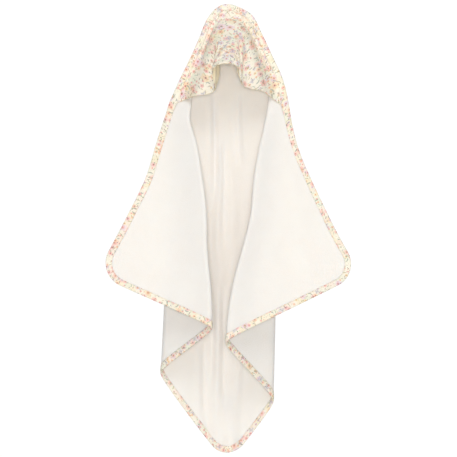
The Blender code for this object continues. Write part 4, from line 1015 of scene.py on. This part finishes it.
def print_material(name):
    k = Nodes(name)
    uv = k.uv()
    jit = k.vec("SCALE", k.vec("SUBTRACT", k.noise(uv, 330.0, 2.0)[1], (0.5, 0.5, 0.5)), scale=0.0016)
    uvj = k.vec("ADD", uv, jit)
    ivory = rgb(252, 244, 226)
    wash = k.noise(uv, 330.0, 3.0, 0.65)[0]

    def lay(mask, colour, base, strength=1.0):
        return k.mix(k.math("MULTIPLY", mask, strength), base, colour)

    # pale washes of mint, straw and blush behind everything
    tones = k.voronoi(uvj, 58.0, "SMOOTH_F1")
    t1, t2, t3 = k.split(tones["Color"])
    col = k.mix(k.math("MULTIPLY", k.step(t1, 0.35, 0.8), 0.55), (*ivory, 1), (*rgb(232, 238, 216), 1))
    col = k.mix(k.math("MULTIPLY", k.step(t2, 0.45, 0.85), 0.55), col, (*rgb(252, 234, 196), 1))
    col = k.mix(k.math("MULTIPLY", k.step(t3, 0.5, 0.9), 0.50), col, (*rgb(252, 226, 214), 1))

    # drawn stems: thin broken lines in grey green and brown
    for off, scale, every, tone in (((3.1, 1.7, 0.0), 62.0, 6.0, rgb(150, 160, 128)), ((8.4, 5.2, 0.0), 74.0, 5.0, rgb(158, 138, 122))):
        wave = k.noise(k.vec("ADD", uv, off), scale, 1.0)[0]
        near = k.math("ABSOLUTE", k.math("SUBTRACT", k.math("FRACT", k.math("MULTIPLY", wave, every)), 0.5))
        stem = k.math("SUBTRACT", 1.0, k.step(near, 0.02, 0.075))
        gaps = k.step(k.noise(k.vec("ADD", uv, off), 120.0, 1.0)[0], 0.54, 0.60)
        col = lay(k.math("MULTIPLY", stem, gaps), (*tone, 1), col, 0.42)

    # open flowers, washed petals with a small dark heart
    for scale, off, size, chance, colours in (
            (44.0, (1.3, 0.6, 0), 0.38, 0.52, ((0.0, rgb(252, 208, 202)), (0.30, rgb(253, 218, 202)), (0.52, rgb(252, 202, 190)), (0.74, rgb(251, 228, 186)), (0.88, rgb(242, 220, 230)))),
            (62.0, (5.9, 8.3, 0), 0.36, 0.40, ((0.0, rgb(250, 192, 186)), (0.35, rgb(253, 218, 182)), (0.65, rgb(232, 222, 232)), (0.85, rgb(251, 208, 206)))),
            (100.0, (2.2, 6.3, 0), 0.32, 0.28, ((0.0, rgb(248, 186, 176)), (0.35, rgb(251, 204, 160)), (0.7, rgb(224, 214, 228)), (0.85, rgb(250, 224, 164))))):
        v, X, Y, r, th, g, r1, r2, r3, show = motif(k, uvj, scale, off, 0, size, chance)
        lobes = k.math("ABSOLUTE", k.math("COSINE", k.math("MULTIPLY", th, 2.5)))
        petal = k.math("ADD", 0.74, k.math("MULTIPLY", lobes, 0.26))
        edge = k.math("DIVIDE", r, k.math("MULTIPLY", g, petal))
        mask = k.math("MULTIPLY", k.math("SUBTRACT", 1.0, k.step(edge, 0.86, 1.0)), show)
        rim = k.math("MULTIPLY", mask, k.step(edge, 0.70, 0.92))
        inner = k.math("MULTIPLY", show, k.math("SUBTRACT", 1.0, k.step(k.math("DIVIDE", r, g), 0.20, 0.66)))
        heart = k.math("MULTIPLY", show, k.math("SUBTRACT", 1.0, k.step(k.math("DIVIDE", r, g), 0.17, 0.25)))
        ray = k.math("MULTIPLY", mask, k.math("SUBTRACT", 1.0, k.step(lobes, 0.0, 0.22)))
        stamen = k.math("MULTIPLY", k.math("LESS_THAN", k.math("ABSOLUTE", k.math("SUBTRACT", k.math("DIVIDE", r, g), 0.42)), 0.055),
                        k.math("GREATER_THAN", k.math("COSINE", k.math("MULTIPLY", th, 10.0)), 0.35))
        c = k.ramp(r3, colours)
        col = lay(mask, c, col, k.math("ADD", 0.50, k.math("MULTIPLY", wash, 0.5)))
        col = lay(rim, k.mix(0.5, c, (*rgb(240, 150, 140), 1)), col, 0.18)
        col = lay(inner, (*rgb(244, 160, 150), 1), col, 0.34)
        col = lay(ray, (*rgb(222, 140, 130), 1), col, 0.22)
        col = lay(k.math("MULTIPLY", stamen, show), (*rgb(184, 100, 94), 1), col, 0.45)
        col = lay(heart, k.ramp(r2, ((0.0, rgb(184, 62, 76)), (0.4, rgb(160, 76, 70)), (0.65, rgb(126, 92, 84)), (0.85, rgb(200, 134, 74)))), col, 0.85)

    # slender leaves with a drawn midrib
    for scale, off, size, colours in ((84.0, (0.3, 4.1, 0), 0.40, ((0.0, rgb(166, 186, 156)), (0.3, rgb(196, 202, 164)), (0.55, rgb(204, 190, 138)), (0.78, rgb(150, 164, 152)))),
                                      (116.0, (7.7, 2.2, 0), 0.38, ((0.0, rgb(176, 206, 190)), (0.35, rgb(206, 186, 140)), (0.7, rgb(138, 146, 146)), (0.85, rgb(168, 142, 128))))):
        v, X, Y, r, th, g, r1, r2, r3, show = motif(k, uvj, scale, off, 0, size, 0.46)
        xx = k.math("DIVIDE", X, g)
        yy = k.math("DIVIDE", Y, k.math("MULTIPLY", g, 0.30))
        bend = k.math("SUBTRACT", yy, k.math("MULTIPLY", k.math("MULTIPLY", xx, xx), 0.8))
        e = k.math("ADD", k.math("MULTIPLY", xx, xx), k.math("MULTIPLY", bend, bend))
        mask = k.math("MULTIPLY", k.math("SUBTRACT", 1.0, k.step(e, 0.66, 1.0)), show)
        rim = k.math("MULTIPLY", mask, k.step(e, 0.35, 0.75))
        vein = k.math("MULTIPLY", mask, k.math("SUBTRACT", 1.0, k.step(k.math("ABSOLUTE", bend), 0.05, 0.28)))
        c = k.ramp(r3, colours)
        col = lay(mask, c, col, 0.62)
        col = lay(rim, (*rgb(124, 128, 112), 1), col, 0.30)
        col = lay(vein, (*rgb(118, 122, 106), 1), col, 0.42)

    # small moths in lilac grey with ruled wings
    v, X, Y, r, th, g, r1, r2, r3, show = motif(k, uvj, 40.0, (9.1, 3.3, 0), 0, 0.30, 0.22)
    wing = k.math("ADD", 0.10, k.math("MULTIPLY", k.math("ABSOLUTE", k.math("SINE", k.math("MULTIPLY", th, 2.0))), 0.90))
    e = k.math("DIVIDE", r, k.math("MULTIPLY", g, wing))
    mask = k.math("MULTIPLY", k.math("SUBTRACT", 1.0, k.step(e, 0.90, 1.0)), show)
    body = k.math("MULTIPLY", show, k.math("MULTIPLY", k.math("SUBTRACT", 1.0, k.step(k.math("ABSOLUTE", Y), 0.008, 0.024)), k.math("LESS_THAN", k.math("ABSOLUTE", X), k.math("MULTIPLY", g, 0.6))))
    ruled = k.math("GREATER_THAN", k.math("SINE", k.math("MULTIPLY", r, 150.0)), 0.1)
    col = lay(mask, k.mix(k.math("MULTIPLY", ruled, 0.8), (*rgb(232, 224, 230), 1), (*rgb(168, 164, 176), 1)), col, 0.75)
    col = lay(body, (*rgb(112, 106, 112), 1), col, 0.8)

    # berries and seed dots
    for scale, off, size, chance, colours in ((112.0, (2.9, 7.1, 0), 0.17, 0.24, ((0.0, rgb(186, 70, 80)), (0.35, rgb(118, 134, 150)), (0.6, rgb(210, 120, 84)), (0.8, rgb(120, 136, 96)))),
                                              (190.0, (6.2, 1.1, 0), 0.15, 0.22, ((0.0, rgb(186, 110, 110)), (0.4, rgb(132, 140, 138)), (0.7, rgb(150, 128, 104))))):
        v, X, Y, r, th, g, r1, r2, r3, show = motif(k, uvj, scale, off, 0, size, chance)
        mask = k.math("MULTIPLY", show, k.math("SUBTRACT", 1.0, k.step(k.math("DIVIDE", r, g), 0.75, 1.0)))
        col = lay(mask, k.ramp(r3, colours), col, 0.66)

    # woven ground: fine threads, and ink that doesn't cover them evenly
    x, y, _ = k.split(uv)
    wx = k.math("SINE", k.math("MULTIPLY", x, 2 * math.pi * 2200.0))
    wy = k.math("SINE", k.math("MULTIPLY", y, 2 * math.pi * 2200.0))
    weave = k.math("MULTIPLY", k.math("ADD", k.math("MULTIPLY", wx, wy), 1.0), 0.5)
    ink = k.noise(uv, 900.0, 2.0)[0]
    col = k.mix(k.math("MULTIPLY", k.step(ink, 0.3, 0.7), 0.14), col, (*ivory, 1))
    col = k.mix(k.math("MULTIPLY", weave, 0.06), col, (*rgb(226, 214, 196), 1))
    k.base(col)
    k.bump(k.math("ADD", weave, k.math("MULTIPLY", ink, 0.8)), 0.00022, 0.6)
    k.put(k.bsdf, "Roughness", 0.82)
    k.put(k.bsdf, "Sheen Weight", 0.12)
    k.put(k.bsdf, "Specular IOR Level", 0.25)
    return k.mat


def thread_material():
    k = Nodes("sewing_thread")
    g = k.t.nodes.new("ShaderNodeTexCoord").outputs["Object"]
    n = k.noise(g, 2600.0, 2.0)[0]
    k.base(k.mix(k.step(n, 0.35, 0.65), (*rgb(246, 238, 224), 1), (*rgb(226, 214, 194), 1)))
    k.bump(n, 0.00006, 0.5)
    k.put(k.bsdf, "Roughness", 0.55)
    k.put(k.bsdf, "Sheen Weight", 0.2)
    return k.mat


def label_material():
    k = Nodes("label_satin")
    uv = k.uv()
    x, y, _ = k.split(uv)
    w = k.math("SINE", k.math("MULTIPLY", x, 2 * math.pi * 3200.0))
    fold = k.math("SINE", k.math("MULTIPLY", k.math("ADD", x, k.math("MULTIPLY", y, 0.25)), 2 * math.pi * 1900.0))
    h = k.math("ADD", w, k.math("MULTIPLY", fold, 0.6))
    # painted highlight and shade: the colour is lighter on the raised ribs and darker in the grooves, following the
    # same height as the bump
    k.base(k.mix(k.step(h, -0.8, 0.9), (*rgb(246, 243, 237), 1), (*rgb(253, 252, 248), 1)))
    k.bump(h, 0.00005, 0.6)
    k.put(k.bsdf, "Roughness", 0.38)
    k.put(k.bsdf, "Anisotropic", 0.5)
    return k.mat


# the second colour of each terry is painted shade between its loops
TERRY = terry_material("towel_loops", rgb(250, 243, 237), rgb(239, 230, 221))
# painted shade: the lining's warm tan and deeper tan stand in for the warm shade inside the hood's hollow, laid over
# the cream of its terry
LINING_PAINTED_SHADE = terry_material("lining_loops_painted_shade", rgb(247, 228, 196), rgb(234, 204, 160))
PRINT = print_material("meadow_print")
THREAD = thread_material()
SATIN = label_material()
for ob, mat in ((towel_ob, TERRY), (lining_ob, LINING_PAINTED_SHADE), (hood_ob, PRINT), (binding_ob, PRINT), (ft, THREAD), (bt, THREAD), (ht, THREAD), (lt, THREAD), (label_ob, SATIN)):
    ob.data.materials.append(mat)

# ------------------------------------------------------------------ what each piece is
for ob, node, slot in ((towel_ob, "terry_body", "terry"), (lining_ob, "hood_terry_lining", "terry"), (hood_ob, "hood_print_panel", "print"),
                       (binding_ob, "edge_binding", "print"), (ft, "edge_stitch_front", "thread"), (bt, "edge_stitch_back", "thread"),
                       (ht, "hood_edge_stitch", "thread")):
    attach(ob, "towel")
    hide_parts(node)
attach(label_ob, "label")
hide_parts("care_label")
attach(lt, "label")

# ------------------------------------------------------------------ stage, light, camera
MPP = 0.00236                                   # metres to one pixel of a 457 px frame, at the towel
MID = (0.0012, -0.530)
DIST = 7.0
cam_data = bpy.data.cameras.new("camera")
cam = bpy.data.objects.new("camera", cam_data)
bpy.context.scene.collection.objects.link(cam)
cam_data.sensor_width = 36.0
cam_data.lens = 36.0 * (DIST - 0.04) / (457 * MPP)
cam.location = (MID[0], -DIST, MID[1])
cam.rotation_euler = (math.pi / 2, 0, 0)
cam_data.clip_end = 60
bpy.context.scene.camera = cam

FLOOR = CAD_BOX[0][2] - 0.40                    # the towel hangs clear of it
sv = [(0.0, 0.0, FLOOR)] + [(4.3 * math.cos(t), 4.3 * math.sin(t), FLOOR) for t in np.arange(96) * math.pi / 48]
floor_ob = new_object("floor", np.array(sv), [(0, 1 + i, 1 + (i + 1) % 96) for i in range(96)])
k = Nodes("pale_floor")
g = k.t.nodes.new("ShaderNodeTexCoord").outputs["Object"]
k.base(k.mix(k.noise(g, 3.0, 2.0)[0], (0.86, 0.86, 0.85, 1), (0.89, 0.89, 0.885, 1)))
k.put(k.bsdf, "Roughness", 0.85)
floor_ob.data.materials.append(k.mat)


def lamp(name, where, aim, size, power, colour=(1, 1, 1)):
    d = bpy.data.lights.new(name, "AREA")
    d.shape = "RECTANGLE"
    d.size, d.size_y = size
    d.energy = power
    d.color = colour
    o = bpy.data.objects.new(name, d)
    bpy.context.scene.collection.objects.link(o)
    o.location = where
    v = Vector(aim) - Vector(where)
    o.rotation_euler = v.to_track_quat("-Z", "Y").to_euler()
    return o


lamp("key", (-1.6, -3.2, 1.6), (0, 0, -0.5), (2.2, 2.2), KEY)
lamp("fill", (2.6, -3.0, 0.2), (0, 0, -0.55), (2.4, 2.8), FILL)
lamp("frontal", (0.0, -6.6, -0.45), (0, 0, -0.55), (0.8, 0.8), FRONTAL)
lamp("top", (0.0, -2.6, 2.2), (0, 0, -0.35), (1.8, 1.4), TOP)
lamp("back", (0.0, 3.0, 0.3), (0, 0, -0.55), (2.4, 2.4), BACK)
w = bpy.data.worlds.new("studio")
bpy.context.scene.world = w
w.use_nodes = True
wt = w.node_tree
soft = wt.nodes["Background"]
soft.inputs[0].default_value = (1, 1, 1, 1)
soft.inputs[1].default_value = WORLD
white = wt.nodes.new("ShaderNodeBackground")     # the white studio behind, as seen directly
white.inputs[0].default_value = (1, 1, 1, 1)
white.inputs[1].default_value = 1.05
path, pick = wt.nodes.new("ShaderNodeLightPath"), wt.nodes.new("ShaderNodeMixShader")
wt.links.new(path.outputs["Is Camera Ray"], pick.inputs[0])
wt.links.new(soft.outputs[0], pick.inputs[1])
wt.links.new(white.outputs[0], pick.inputs[2])
wt.links.new(pick.outputs[0], wt.nodes["World Output"].inputs[0])
bpy.context.scene.view_settings.view_transform = "Standard"
bpy.context.scene.view_settings.look = "None"
bpy.context.scene.view_settings.exposure = 0.0
bpy.context.scene.view_settings.gamma = 1.0
